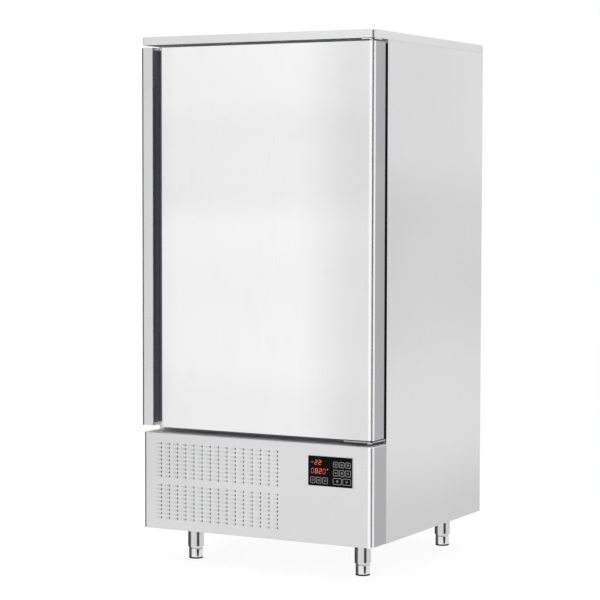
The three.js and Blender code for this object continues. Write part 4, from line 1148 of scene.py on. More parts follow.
class BuildFrontPanel(Operator):
    """Build the lower front panel with its pressed vents"""

    bl_idname = "chiller.front_panel"
    bl_label = "Lower front panel"

    def execute(self, context):
        sheets = context.scene.chiller_sheets
        vents = context.scene.chiller_vents
        first_x = -HALF + vents.margin
        lefts = [first_x + i * vents.pitch_x for i in range(vents.columns)]
        middles = [
            PANEL_LOW + vents.lowest + block * vents.block_step + row * vents.pitch_z
            for block in range(vents.blocks)
            for row in range(vents.rows)
        ]
        half = vents.height / 2
        corners = [(HALF, PANEL_BACK), (HALF, FACE), (-HALF, FACE), (-HALF, PANEL_BACK)]
        path = rounded_path(corners, [0, sheets.corner, sheets.left_corner, 0])
        path = with_stops(path, [x for left in lefts for x in (left, left + vents.width)])

        def is_slot(centre):
            if abs(centre.y - FACE) > 0.1 * MM:
                return False
            if not any(abs(centre.z - z) < half * 0.9 for z in middles):
                return False
            return any(0 < centre.x - left < vents.width for left in lefts)

        fold = sheets.fold
        rings = [ring_at(path, fold + 0.8 * MM, PANEL_LOW)]
        rings += [ring_at(path, inset, PANEL_LOW + fold - rise) for inset, rise in bend(fold, 90, 0)]
        rings.append(ring_at(path, 0, PANEL_LOW + fold + 0.8 * MM))
        for z in middles:
            rings += [ring_at(path, 0, z - half), ring_at(path, 0, z + half)]
        rings.append(ring_at(path, 0, PANEL_TOP - fold - 0.8 * MM))
        rings += [ring_at(path, inset, PANEL_TOP - fold + rise) for inset, rise in bend(fold, 0, 90)]
        rings.append(ring_at(path, fold + 0.8 * MM, PANEL_TOP))
        mesh = bmesh.new()
        rows = surface(mesh, rings, skip=is_slot)
        mesh.faces.new(rows[0])
        mesh.faces.new(rows[-1][::-1])
        made = piece("lower_panel", mesh, ["steel_panel", "steel_return_shaded", "fold"])
        settle(thicken(made, sheets.thickness))
        paint_return_shade(made)
        # The top flange takes the pale matt finish, painted light.
        for face in made.data.polygons:
            if face.normal.z > 0.9 and face.center.z > PANEL_TOP - 0.3 * MM:
                face.material_index = 2

        hoods = hood_pattern("pressed_vents", "steel_hood_painted_light").apply(
            empty_mesh("vent_hoods"),
            Columns=vents.columns,
            Rows=vents.rows,
            Blocks=vents.blocks,
            Pitch_x=vents.pitch_x,
            Pitch_z=vents.pitch_z,
            Block_step=vents.block_step,
            Length=vents.hood,
            Half_height=half + 0.5 * MM,
            Rise=vents.rise,
            Sheet=sheets.thickness * 0.8,
            Start=(first_x, FACE, PANEL_LOW + vents.lowest),
        )
        put(made, "cabinet", "stainless", "front_panel")
        put(hoods, "cabinet", "stainless")
        return {"FINISHED"}


class BuildDoor(Operator):
    """Build the door's skin, groove lining, inner skin and gasket"""

    bl_idname = "chiller.door"
    bl_label = "Door"

    def execute(self, context):
        sheets = context.scene.chiller_sheets
        self.skin(sheets)
        self.lining(sheets)
        self.inner_skin()
        self.gasket()
        return {"FINISHED"}

    def skin(self, sheets):
        left = -HALF
        groove_left = left + sheets.strip_width
        groove_right = groove_left + sheets.groove_width
        groove_back = FACE + sheets.groove_depth
        corners = [
            (HALF, DOOR_BACK),
            (HALF, FACE),
            (groove_right, FACE),
            (groove_right, groove_back),
            (groove_left, groove_back),
            (groove_left, STRIP_FACE),
            (left, STRIP_FACE),
            (left, groove_back),
            (left, DOOR_BACK),
        ]
        small = 3 * MM
        radii = [0, sheets.corner, small, small, small, small, sheets.strip_corner, 0, 0]
        path = rounded_path(corners, radii)
        strip_low = DOOR_LOW + 4 * MM

        def on_strip(centre):
            return centre.x < groove_left + 0.1 * MM and centre.y < groove_back - small

        mesh = bmesh.new()
        levels = (DOOR_LOW, strip_low, DOOR_TOP)
        surface(
            mesh,
            [ring_at(path, 0, z) for z in levels],
            skip=lambda centre: centre.z < strip_low and on_strip(centre),
        )
        sheet = piece("door_sheet", mesh, ["steel_door", "steel_return_shaded", "steel_strip"])
        settle(thicken(sheet, sheets.thickness))
        paint_return_shade(sheet)
        for face in sheet.data.polygons:
            if on_strip(face.center):
                face.material_index = 2
        ends = bmesh.new()
        plate = sheets.thickness
        edge = moved(path, plate / 2)
        strip = [point for point in edge if on_strip(point) and point.y < groove_back]
        rear = [
            Vector((left + plate / 2, groove_back)),
            Vector((groove_right + plate, groove_back + plate / 2)),
            Vector((groove_right + plate, DOOR_BACK - 1.3 * MM)),
            Vector((left + plate / 2, DOOR_BACK - 1.3 * MM)),
        ]
        heel = [
            Vector((left + plate / 2, groove_back)),
            Vector((groove_left + small, groove_back + 0.05 * MM)),
            Vector((groove_left + small, groove_back + plate)),
            Vector((left + plate / 2, groove_back + plate)),
        ]
        for outline, bottom, top in (
            (strip, strip_low + 0.05 * MM, strip_low + plate),
            (strip, DOOR_TOP - plate, DOOR_TOP - 0.05 * MM),
            (rear, DOOR_LOW + 0.05 * MM, DOOR_LOW + plate),
            (rear, DOOR_TOP - plate, DOOR_TOP - 0.05 * MM),
            (heel, DOOR_LOW + 0.1 * MM, strip_low + plate),
        ):
            slab(ends, *([(point.x, point.y, z) for point in outline] for z in (bottom, top)))
        outward(ends)
        made = joined("door_outer_skin", [sheet, piece("strip_ends", ends, ["steel_strip"])])
        put(made, "door", "stainless", "door_skin")

    def lining(self, sheets):
        left = -HALF + sheets.strip_width + SEAT
        right = -HALF + sheets.strip_width + sheets.groove_width - SEAT
        back = FACE + sheets.groove_depth - SEAT
        bottom, top = low("handle_grip").z, high("handle_grip").z
        front = FACE + 5 * MM
        corners = [(right, front), (right, back), (left, back), (left, STRIP_FACE + 5 * MM)]
        path = rounded_path(corners, [0, 3 * MM, 8 * MM, 0])
        thickness = 1.5 * MM
        mesh = bmesh.new()
        rings = [
            ring_at(path, 0, z) + ring_at(path, -thickness, z)[::-1]
            for z in (bottom, top)
        ]
        rows = surface(mesh, rings, closed=True)
        count = len(path)
        for row in rows:
            for i in range(count - 1):
                mesh.faces.new((row[i], row[i + 1], row[-2 - i], row[-1 - i]))
        outward(mesh)
        made = settle(soften(piece("groove_lining", mesh, ["grip"]), 0.4 * MM))
        put(made, "door", "grip_plastic", "handle_grip")

    def inner_skin(self):
        lowest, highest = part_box("door_liner")
        edge = 1.2 * MM
        plug = 61 * MM
        foot, cove = 4 * MM, 6 * MM
        rise = highest.y - DOOR_BACK
        back = DOOR_BACK
        steps = [(0.4 * MM, back - 1.0 * MM), (0.0, back - 0.6 * MM), (0.4 * MM, back), (edge, back)]
        steps.append((plug - foot, back))
        for inset, climb in bend(foot, 0, 90, 6):
            steps.append((plug - foot + climb, back + inset))
        for inset, climb in bend(cove, 0, 90, 6):
            steps.append((plug + inset, back + rise - cove + climb))
        steps.append((plug + cove + 2 * MM, back + rise))
        mesh = bmesh.new()
        rings = []
        x0, x1, z0, z1 = lowest.x, highest.x, lowest.z, highest.z
        for inset, y in steps:
            radius = max(edge, 14 * MM - abs(plug - inset)) if inset > plug - 12 * MM else edge
            rings.append(rounded_ring(x0 + inset, x1 - inset, z0 + inset, z1 - inset, y, radius))
        rows = surface(mesh, rings, closed=True)
        cap = mesh.faces.new(rows[-1])
        outward_from(mesh, cap, Vector((0, 1, 0)))
        made = piece("door_inner_skin", mesh, ["steel_liner"])
        put(made, "door", "stainless", "door_liner")

    def gasket(self):
        lowest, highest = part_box("door_gasket")
        centre = (highest.x + lowest.x) / 2
        width = 18 * MM
        reach = highest.x - width / 2
        floor_z, ceiling_z = lowest.z + width / 2, highest.z - width / 2
        # The seal's section: across and deep, in mm.
        section = [
            (-5.0, 0.0), (5.0, 0.0), (5.0, 4.4), (8.2, 6.2), (8.2, 8.6), (6.6, 10.2), (9.0, 12.0),
            (9.0, 16.6), (8.4, 17.4), (-8.4, 17.4), (-9.0, 16.6), (-9.0, 12.0), (-6.6, 10.2), (-8.2, 8.6),
            (-8.2, 6.2), (-5.0, 4.4),
        ]
        mesh = bmesh.new()
        loops = []
        for across, deep in section:
            out = across * MM
            y = lowest.y + deep * MM
            loops.append(
                [
                    mesh.verts.new((centre + reach + out, y, floor_z - out)),
                    mesh.verts.new((centre + reach + out, y, ceiling_z + out)),
                    mesh.verts.new((centre - reach - out, y, ceiling_z + out)),
                    mesh.verts.new((centre - reach - out, y, floor_z - out)),
                ]
            )
        for first, second in zip(loops, loops[1:] + loops[:1]):
            for i in range(4):
                j = (i + 1) % 4
                mesh.faces.new((first[i], first[j], second[j], second[i]))
        outward(mesh)
        made = piece("door_seal", mesh, ["gasket"])
        put(made, "door", "gasket", "door_gasket")


class BuildHinges(Operator):
    """Build the hinge plates with their rounded edges"""

    bl_idname = "chiller.hinges"
    bl_label = "Hinges"

    def execute(self, context):
        # The lower hinge takes the darkened steel, painted shade.
        for end, finish in (("top", "bright"), ("bottom", "hinge")):
            node = f"hinge_plate_{end}"
            made = softened_copy(node, f"hinge_bracket_{end}", finish, 0.7 * MM)
            put(made, "cabinet", "bright_stainless", node)
        return {"FINISHED"}


class BuildLegs(Operator):
    """Turn the four legs, their feet and the pads"""

    bl_idname = "chiller.legs"
    bl_label = "Legs"

    def execute(self, context):
        for place in PLACES:
            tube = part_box(f"leg_tube_{place}")
            centre = ((tube[0].x + tube[1].x) / 2, (tube[0].y + tube[1].y) / 2)
            self.tube(place, centre)
            self.foot(place, centre)
            self.pad(place, centre)
        return {"FINISHED"}

    def tube(self, place, centre):
        bottom, top = low(f"leg_tube_{place}").z, high(f"leg_tube_{place}").z
        # Radii and heights in mm.
        radius, nose, bore, flange = 25.4, 22.2, 8.3, 40.0
        steps = 8
        from_bottom = [(bore, 0), (20.6, 0), (21.6, 0.3), (nose, 1.0)]
        for k in range(1, steps + 1):
            swell = (1 - math.cos(math.pi * k / steps)) / 2
            from_bottom.append((nose + (radius - nose) * swell, 1.0 + 6.6 * k / steps))
        from_bottom.append((radius, 8.6))
        from_top = [
            (radius, -7.0), (radius, -6.2), (26.4, -4.4), (28.0, -4.0), (39.4, -4.0), (flange, -3.4),
            (flange, -0.6), (39.4, 0), (23.9, 0),
        ]
        inside = [(23.9, 25), (bore, 25), (bore, 0)]
        profile = [(r * MM, bottom + z * MM) for r, z in from_bottom]
        profile += [(r * MM, top + z * MM) for r, z in from_top]
        profile += [(r * MM, bottom + z * MM) for r, z in inside]
        mesh = bmesh.new()
        turned_solid(mesh, profile, centre)
        bmesh.ops.remove_doubles(mesh, verts=mesh.verts[:], dist=0.001 * MM)
        outward(mesh)
        made = piece(f"leg_{place}", mesh, ["steel_leg"])
        put(made, "cabinet", "stainless", f"leg_tube_{place}")

    def foot(self, place, centre):
        node = f"leg_foot_{place}"
        bottom, top = low(node).z, high(node).z
        shoulder = low(f"leg_tube_{place}").z - SEAT
        thread, core = 8.0 * MM, 7.1 * MM
        body = [(0, 0), (20.6, 0), (21.6, 0.4), (22.0, 1.4), (22.2, 3.0)]
        neck = [(22.2, -2.6), (21.9, -1.2), (20.9, -0.3), (19.6, 0), (9.0, 0), (8.0, 0)]
        profile = [(r * MM, bottom + z * MM) for r, z in body]
        profile += [(r * MM, shoulder + z * MM) for r, z in neck]
        turns = 20
        run = top - shoulder - 4 * MM
        for k in range(turns):
            z = shoulder + 1 * MM + run * k / turns
            profile += [(thread, z), (core, z + run / turns / 2)]
        profile += [(thread, top - 2 * MM), (7.0 * MM, top), (0, top)]
        mesh = bmesh.new()
        turned_solid(mesh, profile, centre)
        outward(mesh)
        made = piece(f"screw_foot_{place}", mesh, ["bright"], 50)
        put(made, f"foot_{place}", "bright_stainless", node)

    def pad(self, place, centre):
        node = f"foot_pad_{place}"
        bottom, top = low(node).z, high(node).z
        shape = [
            (0, 1.0), (14.0, 1.0), (14.6, 0.0), (20.8, 0.0), (22.0, 0.5), (22.6, 1.6), (22.6, 3.2),
            (22.2, 4.0),
        ]
        profile = [(r * MM, bottom + z * MM) for r, z in shape] + [(0, top)]
        mesh = bmesh.new()
        turned_solid(mesh, profile, centre)
        outward(mesh)
        made = piece(f"rubber_pad_{place}", mesh, ["rubber"])
        put(made, f"foot_{place}", "black_rubber", node)


# Thickness of the print on the film and of the lit bars.
PRINT = 0.06 * MM
LIT_BAR = 0.08 * MM

SEGMENTS = {
    "0": "abcdef", "1": "bc", "2": "abged", "3": "abgcd", "4": "fgbc", "5": "afgcd", "6": "afgedc",
    "7": "abc", "8": "abcdefg", "9": "abcdfg", "-": "g",
}


class BuildKeypad(Operator):
    """Build the keypad film, its keys and the display's digits"""

    bl_idname = "chiller.keypad"
    bl_label = "Keypad"

    def execute(self, context):
        settings = context.scene.chiller_keypad
        FINISHES["digit"] = lit_segment("lit_digits", tuple(settings.glow), 0.8)
        FINISHES["digit_zero"] = lit_segment("lit_digits_red", (0.85, 0.03, 0.10), 0.5)
        FINISHES["key_line"] = printed_line("key_outline", tuple(settings.key_line))
        FINISHES["white_print"] = printed_line("white_print", (0.75, 0.75, 0.76))
        FINISHES["rim"] = printed_line("film_rim", (0.80, 0.80, 0.81))
        lowest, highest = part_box("control_overlay")
        self.left, self.top = lowest.x, highest.z
        self.right, self.bottom = highest.x, lowest.z
        self.front = lowest.y
        self.film(lowest, highest)
        self.keys()
        self.digits(settings)
        return {"FINISHED"}

    def film(self, lowest, highest):
        mesh = bmesh.new()
        outer = [
            rounded_ring(lowest.x + i, highest.x - i, lowest.z + i, highest.z - i, y, 3 * MM - i)
            for i, y in (
                (0.0, highest.y),
                (0.0, lowest.y + 0.40 * MM),
                (0.12 * MM, lowest.y + 0.15 * MM),
                (0.4 * MM, lowest.y + 0.03 * MM),
                (1.0 * MM, lowest.y + 0.03 * MM),
            )
        ]
        rows = surface(mesh, outer, closed=True)
        mesh.faces.new(rows[0])
        mesh.faces.new(rows[-1])
        outward(mesh)
        made = piece("keypad_film", mesh, ["film"])
        rim = self.frame(lowest.x, highest.x, lowest.z, highest.z, 1.1 * MM, 3 * MM, "rim", "film_rim_line")
        put(made, "cabinet", "gloss_overlay", "control_overlay")
        put(rim, "cabinet", "gloss_overlay")

    def frame(self, x0, x1, z0, z1, line, radius, finish, name):
        """A flat printed outline, a hair proud of the film."""
        mesh = bmesh.new()
        self.outline(mesh, x0, x1, z0, z1, line, radius)
        outward(mesh)
        return piece(name, mesh, [finish])

    def outline(self, mesh, x0, x1, z0, z1, line, radius):
        behind, front = self.front + PRINT, self.front
        inner = max(radius - line, 0.2 * MM)
        rings = [
            rounded_ring(x0, x1, z0, z1, behind, radius),
            rounded_ring(x0, x1, z0, z1, front, radius),
            rounded_ring(x0 + line, x1 - line, z0 + line, z1 - line, front, inner),
            rounded_ring(x0 + line, x1 - line, z0 + line, z1 - line, behind, inner),
        ]
        surface(mesh, rings + rings[:1], closed=True)
        bmesh.ops.remove_doubles(mesh, verts=mesh.verts[:], dist=0.001 * MM)

    def at(self, across, down):
        """A place on the film, from its upper left corner."""
        return self.left + across * MM, self.top - down * MM

    def keys(self):
        mesh = bmesh.new()
        # Edges of the keys in mm, from the film's upper left corner.
        lower = [(8.6, 25.4), (28.6, 45.6), (50.0, 67.6)]
        columns = [(85.6, 103.0), (106.2, 123.2), (126.0, 144.4)]
        rows = [(15.6, 32.2), (39.4, 58.2)]
        wide = [(85.0, 114.0), (117.4, 144.8)]
        keys = [(x0, x1, 65.0, 83.8) for x0, x1 in lower]
        keys += [(x0, x1, z0, z1) for z0, z1 in rows for x0, x1 in columns]
        keys += [(x0, x1, 64.4, 83.6) for x0, x1 in wide]
        for x0, x1, down0, down1 in keys:
            left, top = self.at(x0, down0)
            right, bottom = self.at(x1, down1)
            self.outline(mesh, left, right, bottom, top, 1.1 * MM, 3.2 * MM)
            self.icon(mesh, (left + right) / 2, (top + bottom) / 2, len(mesh.faces) % 3)
        outward(mesh)
        made = piece("key_outlines", mesh, ["key_line"])
        put(made, "cabinet", "gloss_overlay")

    def icon(self, mesh, x, z, kind):
        """A plain bar, ring or arrow on a key."""
        behind, front = self.front + PRINT, self.front
        if kind == 0:
            for shift in (-2.6, 0.0, 2.6):
                solid_block(
                    mesh,
                    (x - 3.4 * MM, front, z + (shift - 0.5) * MM),
                    (x + 3.4 * MM, behind, z + (shift + 0.5) * MM),
                )
        elif kind == 1:
            self.outline(mesh, x - 3.2 * MM, x + 3.2 * MM, z - 3.2 * MM, z + 3.2 * MM, 0.9 * MM, 3.1 * MM)
        else:
            for width, shift in ((6.4, -1.8), (4.2, -0.4), (2.0, 1.0), (0.8, 2.2)):
                solid_block(
                    mesh,
                    (x - width / 2 * MM, front, z + shift * MM),
                    (x + width / 2 * MM, behind, z + (shift + 1.3) * MM),
                )

    def digits(self, settings):
        # Text, its left and upper edges, a digit's width and height, and the pitch, in mm.
        lines = [
            (settings.reading, 10.4, 14.4, 7.8, 12.2, 13.0),
            (settings.clock, 11.3, 39.4, 7.8, 14.2, 13.1),
        ]
        for finish, name, wanted in (
            ("digit", "lit_digits", lambda sign, line: line == 0 or sign != "0"),
            ("digit_zero", "lit_digits_low", lambda sign, line: line == 1 and sign == "0"),
        ):
            mesh = bmesh.new()
            for number, (text, start, down, width, tall, pitch) in enumerate(lines):
                for i, sign in enumerate(text):
                    if wanted(sign, number):
                        self.digit(mesh, sign, start + i * pitch, down, width, tall)
            outward(mesh)
            made = piece(name, mesh, [finish])
            put(made, "cabinet", "gloss_overlay")
        mesh = bmesh.new()
        x, z = self.at(66.8, 40.4)
        self.outline(mesh, x - 1.6 * MM, x + 1.6 * MM, z - 1.6 * MM, z + 1.6 * MM, 0.9 * MM, 1.55 * MM)
        outward(mesh)
        put(piece("degree_mark", mesh, ["white_print"]), "cabinet", "gloss_overlay")

    def digit(self, mesh, sign, across, down, width, tall):
        """One seven-segment digit of bars with pointed ends."""
        bar, gap, slant = 1.35, 0.35, 0.10
        half = tall / 2
        bars = {
            "a": ((0, 0), (width, 0)),
            "b": ((width, 0), (width, half)),
            "c": ((width, half), (width, tall)),
            "d": ((0, tall), (width, tall)),
            "e": ((0, half), (0, tall)),
            "f": ((0, 0), (0, half)),
            "g": ((0, half), (width, half)),
        }
        for name in SEGMENTS[sign]:
            (x0, z0), (x1, z1) = bars[name]
            way = Vector((x1 - x0, z1 - z0)).normalized()
            side = Vector((-way.y, way.x)) * bar / 2
            start = Vector((x0, z0)) + way * gap
            end = Vector((x1, z1)) - way * gap
            tip = way * bar / 2
            shape = [start, start + tip + side, end - tip + side, end, end - tip - side, start + tip - side]
            places = [
                self.at(across + point.x + (tall - point.y) * slant, down + point.y) for point in shape
            ]
            slab(mesh, *([(x, y, z) for x, z in places] for y in (self.front + LIT_BAR, self.front)))


class BuildChamber(Operator):
    """Build the chamber's inner skin and the tray racks"""

    bl_idname = "chiller.chamber"
    bl_label = "Chamber and racks"

    def execute(self, context):
        self.inner_skin()
        for side, sign in (("left", -1), ("right", 1)):
            self.rack(side, sign)
        return {"FINISHED"}

    def inner_skin(self):
        lowest, highest = LINER
        sheet = 1 * MM
        x0, x1 = lowest.x + sheet, highest.x - sheet
        z0, z1 = lowest.z + sheet, highest.z - sheet
        back = highest.y - sheet
        cove = 8 * MM
        depths = (lowest.y, lowest.y + 2 * MM, back - cove - 1 * MM)
        rings = [rounded_ring(x0, x1, z0, z1, y, cove) for y in depths]
        for inset, rise in bend(cove, 0, 90, 6):
            y = back - cove + rise
            rings.append(
                rounded_ring(x0 + inset, x1 - inset, z0 + inset, z1 - inset, y, max(cove - inset, 0.4 * MM))
            )
        rings.append(rounded_ring(x0 + 12 * MM, x1 - 12 * MM, z0 + 12 * MM, z1 - 12 * MM, back, 0.4 * MM))
        mesh = bmesh.new()
        rows = surface(mesh, rings, closed=True)
        cap = mesh.faces.new(rows[-1])
        outward_from(mesh, cap, Vector((0, -1, 0)))
        made = piece("chamber_inner_skin", mesh, ["steel_liner"])
        settle(thicken(made, sheet * 0.9))
        put(made, "cabinet", "stainless", "chamber_liner")

    def rack(self, side, sign):
        node = f"tray_rack_{side}"
        lowest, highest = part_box(node)
        wall = highest.x if sign > 0 else -lowest.x
        flange_in = 303 * MM
        sheet = 1.5 * MM
        flange_out = flange_in + sheet
        ledge = 18 * MM
        levels, level_step = 14, 70 * MM
        first = lowest.z - SEAT + level_step
        outline = [
            (flange_out + sheet / 2, 0.0),
            (flange_out + sheet / 2, 15 * MM),
            (flange_in, 15 * MM),
            (flange_in, sheet + 1.2 * MM),
            (flange_in - 0.35 * MM, sheet + 0.35 * MM),
            (flange_in - 1.2 * MM, sheet),
            (flange_in - ledge + 0.6 * MM, sheet),
            (flange_in - ledge, sheet + 1.4 * MM),
            (flange_in - ledge, 0.6 * MM),
            (flange_in - ledge + 0.6 * MM, 0.0),
        ]
        mesh = bmesh.new()
        slab(mesh, *([(sign * x, y, first + z) for x, z in outline] for y in (lowest.y, highest.y)))
        outward(mesh)
        runner = piece(f"runner_{side}", mesh, ["bright"])
        row = row_pattern(f"runners_{side}", "bright")
        runners = row.apply(runner, Copies=levels, Step=(0.0, 0.0, level_step))
        mesh = bmesh.new()
        width = 30 * MM
        for post in (lowest.y + 40 * MM, highest.y - 70 * MM):
            section = [
                (wall, post), (flange_out + 1 * MM, post), (flange_out, post + 1 * MM),
                (flange_out, post + width - 1 * MM), (flange_out + 1 * MM, post + width),
                (wall, post + width), (wall, post + width - sheet),
                (flange_out + sheet, post + width - sheet),
                (flange_out + sheet, post + sheet), (wall, post + sheet),
            ]
            slab(mesh, *([(sign * x, y, z) for x, y in section] for z in (lowest.z, highest.z)))
        outward(mesh)
        posts = piece(f"posts_{side}", mesh, ["bright"])
        put(joined(f"tray_runners_{side}", [runners, posts]), "cabinet", "bright_stainless", node)


class BuildFans(Operator):
    """Build the fan guards and the fan wheels"""

    bl_idname = "chiller.fans"
    bl_label = "Fans"

    def execute(self, context):
        for name in ("lower", "upper"):
            self.guard(name)
            self.wheel(f"fan_rotor_{name}", f"evaporator_fan_{name}", f"fan_wheel_{name}")
        self.wheel("condenser_fan_rotor", "condenser_fan", "fan_wheel_condenser")
        return {"FINISHED"}

    def guard(self, name):
        node = f"fan_guard_{name}"
        lowest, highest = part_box(node)
        x, z = (lowest.x + highest.x) / 2, (lowest.z + highest.z) / 2
        reach = (highest.x - lowest.x) / 2
        wire = 1.3 * MM
        y = lowest.y + 3 * MM
        hub, rim, rings = 14 * MM, reach - 14 * MM, 9
        front, back = y - 1.2 * MM, highest.y - 1.2 * MM
        spoke = (
            (front, hub), (front, rim), (y + 1.5 * MM, reach - 8 * MM), (back, reach - 7 * MM),
            (back, reach - 1 * MM),
        )
        mesh = bmesh.new()
        for k in range(4):
            way = Vector((math.cos(k * math.pi / 2), 0, math.sin(k * math.pi / 2)))
            points = [Vector((x, depth, z)) + way * run for depth, run in spoke]
            round_bar(mesh, points, wire * 1.15, 10)
        outward(mesh)
        spokes = piece(f"guard_{name}", mesh, ["bright"])
        made = guard_pattern(f"guard_rings_{name}", "bright").apply(
            spokes, Rings=rings, Spacing=rim / rings, Wire=wire, Centre=(x, y + 0.9 * MM, z)
        )
        put(made, "cabinet", "bright_stainless", node)

    def wheel(self, node, body, name):
        lowest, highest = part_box(node)
        x, z = (lowest.x + highest.x) / 2, (lowest.z + highest.z) / 2
        radius = (highest.x - lowest.x) / 2 - 0.5 * MM
        root = 43 * MM
        middle = (lowest.y + highest.y) / 2
        half = (highest.y - lowest.y) / 2
        mesh = bmesh.new()
        rows = []
        spans, chords = 9, 8
        for face in (0, 1):
            for k in range(spans + 1):
                # From root to tip a blade grows wider and flatter.
                share = k / spans
                reach = root + (radius - root) * share
                chord = (44 + 34 * math.sin(share * 2.2)) * MM
                tilt = math.radians(34 - 13 * share)
                row = []
                for i in range(chords + 1):
                    along = (i / chords - 0.5) * chord
                    camber = 0.07 * chord * (1 - (2 * i / chords - 1) ** 2)
                    thick = (0.35 + 0.65 * math.sin(math.pi * i / chords)) * 1.1 * MM
                    off = camber + (thick if face else -thick)
                    angle = along * math.cos(tilt) / reach
                    deep = along * math.sin(tilt) + off
                    deep = max(-half * 0.98, min(half * 0.98, deep))
                    row.append(mesh.verts.new((reach * math.sin(angle), deep, reach * math.cos(angle))))
                rows.append(row)
        count = spans + 1
        for face in (0, 1):
            for k in range(spans):
                a, b = rows[face * count + k], rows[face * count + k + 1]
                for i in range(chords):
                    mesh.faces.new((a[i], a[i + 1], b[i + 1], b[i]))
        for k in range(spans):
            for i in (0, chords):
                a, b = rows[k], rows[k + 1]
                c, d = rows[count + k], rows[count + k + 1]
                mesh.faces.new((a[i], b[i], d[i], c[i]))
        for k in (0, spans):
            for i in range(chords):
                a, b = rows[k], rows[count + k]
                mesh.faces.new((a[i], a[i + 1], b[i + 1], b[i]))
        outward(mesh)
        blade = piece(f"{name}_blade", mesh, ["fins"])
        blades = wheel_pattern(f"{name}_blades", "fins").apply(blade, Copies=5, Centre=(x, middle, z))
        mesh = bmesh.new()
        front = middle - 14 * MM
        # The hub: radius and depth in mm.
        profile = [
            (4.4, 0.0), (34.0, 0.0), (42.0, 1.2), (45.0, 3.4), (46.0, 6.4), (46.0, 28.0), (43.6, 28.0),
            (43.6, 6.8), (41.0, 4.4), (12.0, 3.2), (9.0, 3.6), (9.0, 24.0), (4.4, 24.0), (4.4, 0.0),
        ]
        turned_solid(mesh, [(r * MM, d * MM) for r, d in profile], (0, 0))
        bmesh.ops.remove_doubles(mesh, verts=mesh.verts[:], dist=0.001 * MM)
        outward(mesh)
        turn = Matrix.Translation(Vector((x, front, z))) @ Matrix.Rotation(math.radians(-90), 4, "X")
        mesh.transform(turn)
        hub_piece = piece(f"{name}_hub", mesh, ["fins"])
        made = joined(name, [blades, hub_piece])
        put(made, body, "aluminium_fins", node)


# Dark screens round the room, which only shine shows: azimuth from straight in front, half width of
# the dark middle and of its soft edge, in degrees, and how dark.
DARK_SCREENS = ((60.5, 17, 26, 0.97), (-98, 46, 58, 0.90))


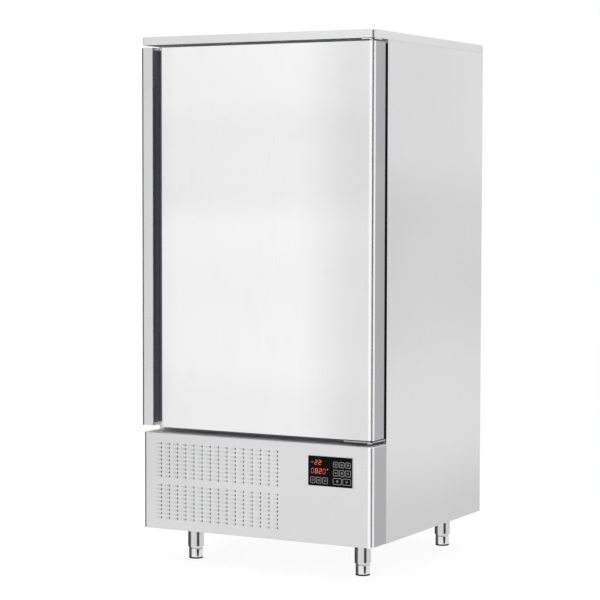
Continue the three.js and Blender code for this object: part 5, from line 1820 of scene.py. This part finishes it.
class BuildStage(Operator):
    """Set the floor, the light and the camera"""

    bl_idname = "chiller.stage"
    bl_label = "Stage"

    def execute(self, context):
        studio = context.scene.chiller_studio
        self.floor(studio)
        self.room(context.scene, studio)
        self.lamps()
        self.camera(context.scene, studio)
        context.scene.view_settings.view_transform = "Standard"
        return {"FINISHED"}

    def floor(self, studio):
        mesh = bmesh.new()
        bmesh.ops.create_circle(mesh, cap_ends=True, segments=96, radius=studio.floor_reach)
        data = plain_mesh("floor", mesh)
        floor = new_object("floor", data)
        material = bpy.data.materials.new("pale_floor")
        material.use_nodes = True
        tree = Tree(material.node_tree)
        rays = tree.node("ShaderNodeLightPath")
        camera = Value(tree, rays.outputs["Is Camera Ray"])
        glossy = Value(tree, rays.outputs["Is Glossy Ray"])
        glass = Value(tree, rays.outputs["Is Transmission Ray"])
        matt = tree.value("ShaderNodeBsdfDiffuse", None, {"Color": (0.88, 0.88, 0.88, 1.0)})
        level = camera * 1.06 + glass
        glow = tree.value("ShaderNodeEmission", None, {"Color": (1, 1, 1, 1), "Strength": level})
        share = camera * 0.85 + glass
        both = tree.value("ShaderNodeMixShader", None, {0: share, 1: matt, 2: glow})
        clear = tree.value("ShaderNodeBsdfTransparent", None, {"Color": (1, 1, 1, 1)})
        seen = tree.value("ShaderNodeMixShader", None, {0: glossy, 1: both, 2: clear})
        tree.node("ShaderNodeOutputMaterial", None, {"Surface": seen})
        data.materials.append(material)

    def room(self, scene, studio):
        world = bpy.data.worlds.new("studio_room")
        world.use_nodes = True
        scene.world = world
        tree = Tree(world.node_tree)
        way = tree.value("ShaderNodeTexCoord", output="Generated")
        rays = tree.node("ShaderNodeLightPath")
        camera = Value(tree, rays.outputs["Is Camera Ray"])
        glossy = Value(tree, rays.outputs["Is Glossy Ray"])

        def side(azimuth, inner, outer):
            angle = math.radians(azimuth)
            facing = tree.value(
                "ShaderNodeVectorMath",
                {"operation": "DOT_PRODUCT"},
                {0: way, 1: (math.sin(angle), -math.cos(angle), 0.0)},
                "Value",
            )
            return tree.between(facing, math.cos(math.radians(outer)), math.cos(math.radians(inner)))

        clouds = tree.value("ShaderNodeTexNoise", None, {"Vector": way, "Scale": 3.2, "Detail": 1.0})
        level = 1.0 + (clouds - 0.5) * 0.10
        level = level + side(-34, 4, 60) * 0.02
        level = level - side(152, 25, 75) * 0.10
        for azimuth, inner, outer, share in DARK_SCREENS:
            level = level * (1 - side(azimuth, inner, outer) * share)
        strength = camera + (1 - camera) * (glossy * level + (1 - glossy) * studio.room)
        back = tree.value("ShaderNodeBackground", None, {"Color": (1, 1, 1, 1), "Strength": strength})
        tree.node("ShaderNodeOutputWorld", None, {"Surface": back})

    def lamps(self):
        # Each lamp's place and size in metres and its power in watts.
        for name, place, size, power in (
            ("key", (-2.6, -3.4, 3.4), 2.6, 34.0),
            ("fill", (3.4, -1.2, 2.6), 2.2, 12.0),
            ("top", (0.2, 0.4, 4.0), 2.6, 16.0),
        ):
            data = bpy.data.lights.new(name, "AREA")
            data.size = size
            data.energy = power
            lamp = new_object(name, data)
            lamp.location = place
            aim = Vector((0, 0, 0.8)) - Vector(place)
            lamp.rotation_mode = "QUATERNION"
            lamp.rotation_quaternion = aim.to_track_quat("-Z", "Y")
            lamp.visible_glossy = False

    def camera(self, scene, studio):
        data = bpy.data.cameras.new("camera")
        data.lens = studio.lens
        data.sensor_width = 36.0
        data.clip_end = 100.0
        camera = new_object("camera", data)
        yaw, pitch, roll = studio.yaw, studio.pitch, studio.roll
        ahead = Vector(
            (-math.sin(yaw) * math.cos(pitch), math.cos(yaw) * math.cos(pitch), -math.sin(pitch))
        )
        right = Vector((math.cos(yaw), math.sin(yaw), 0.0))
        up = right.cross(ahead)
        across = right * math.cos(roll) + up * math.sin(roll)
        above = up * math.cos(roll) - right * math.sin(roll)
        turn = Matrix((across, above, -ahead)).transposed()
        camera.matrix_world = Matrix.Translation(studio.camera) @ turn.to_4x4()
        scene.camera = camera


STEPS = (
    BuildFinishes,
    BuildCabinet,
    BuildFrontPanel,
    BuildDoor,
    BuildHinges,
    BuildLegs,
    BuildKeypad,
    BuildChamber,
    BuildFans,
    BuildStage,
)


class ChillerPanel(Panel):
    """Sizes, colours and steps of the chiller"""

    bl_idname = "VIEW3D_PT_chiller"
    bl_label = "Blast chiller"
    bl_space_type = "VIEW_3D"
    bl_region_type = "UI"
    bl_category = "Chiller"

    def draw(self, context):
        layout = self.layout
        for attribute, group in GROUPS.items():
            box = layout.box()
            box.label(text=group.__doc__)
            settings = getattr(context.scene, attribute)
            for name in group.__annotations__:
                box.prop(settings, name)
        for step in STEPS:
            layout.operator(step.bl_idname)


def register():
    for group in GROUPS.values():
        bpy.utils.register_class(group)
    for step in STEPS:
        bpy.utils.register_class(step)
    bpy.utils.register_class(ChillerPanel)
    for attribute, group in GROUPS.items():
        setattr(bpy.types.Scene, attribute, PointerProperty(type=group))


def unregister():
    for attribute in GROUPS:
        delattr(bpy.types.Scene, attribute)
    bpy.utils.unregister_class(ChillerPanel)
    for step in reversed(STEPS):
        bpy.utils.unregister_class(step)
    for group in reversed(list(GROUPS.values())):
        bpy.utils.unregister_class(group)


def main():
    register()
    for step in STEPS:
        group, name = step.bl_idname.split(".")
        getattr(getattr(bpy.ops, group), name)()


if __name__ == "__main__":
    main()
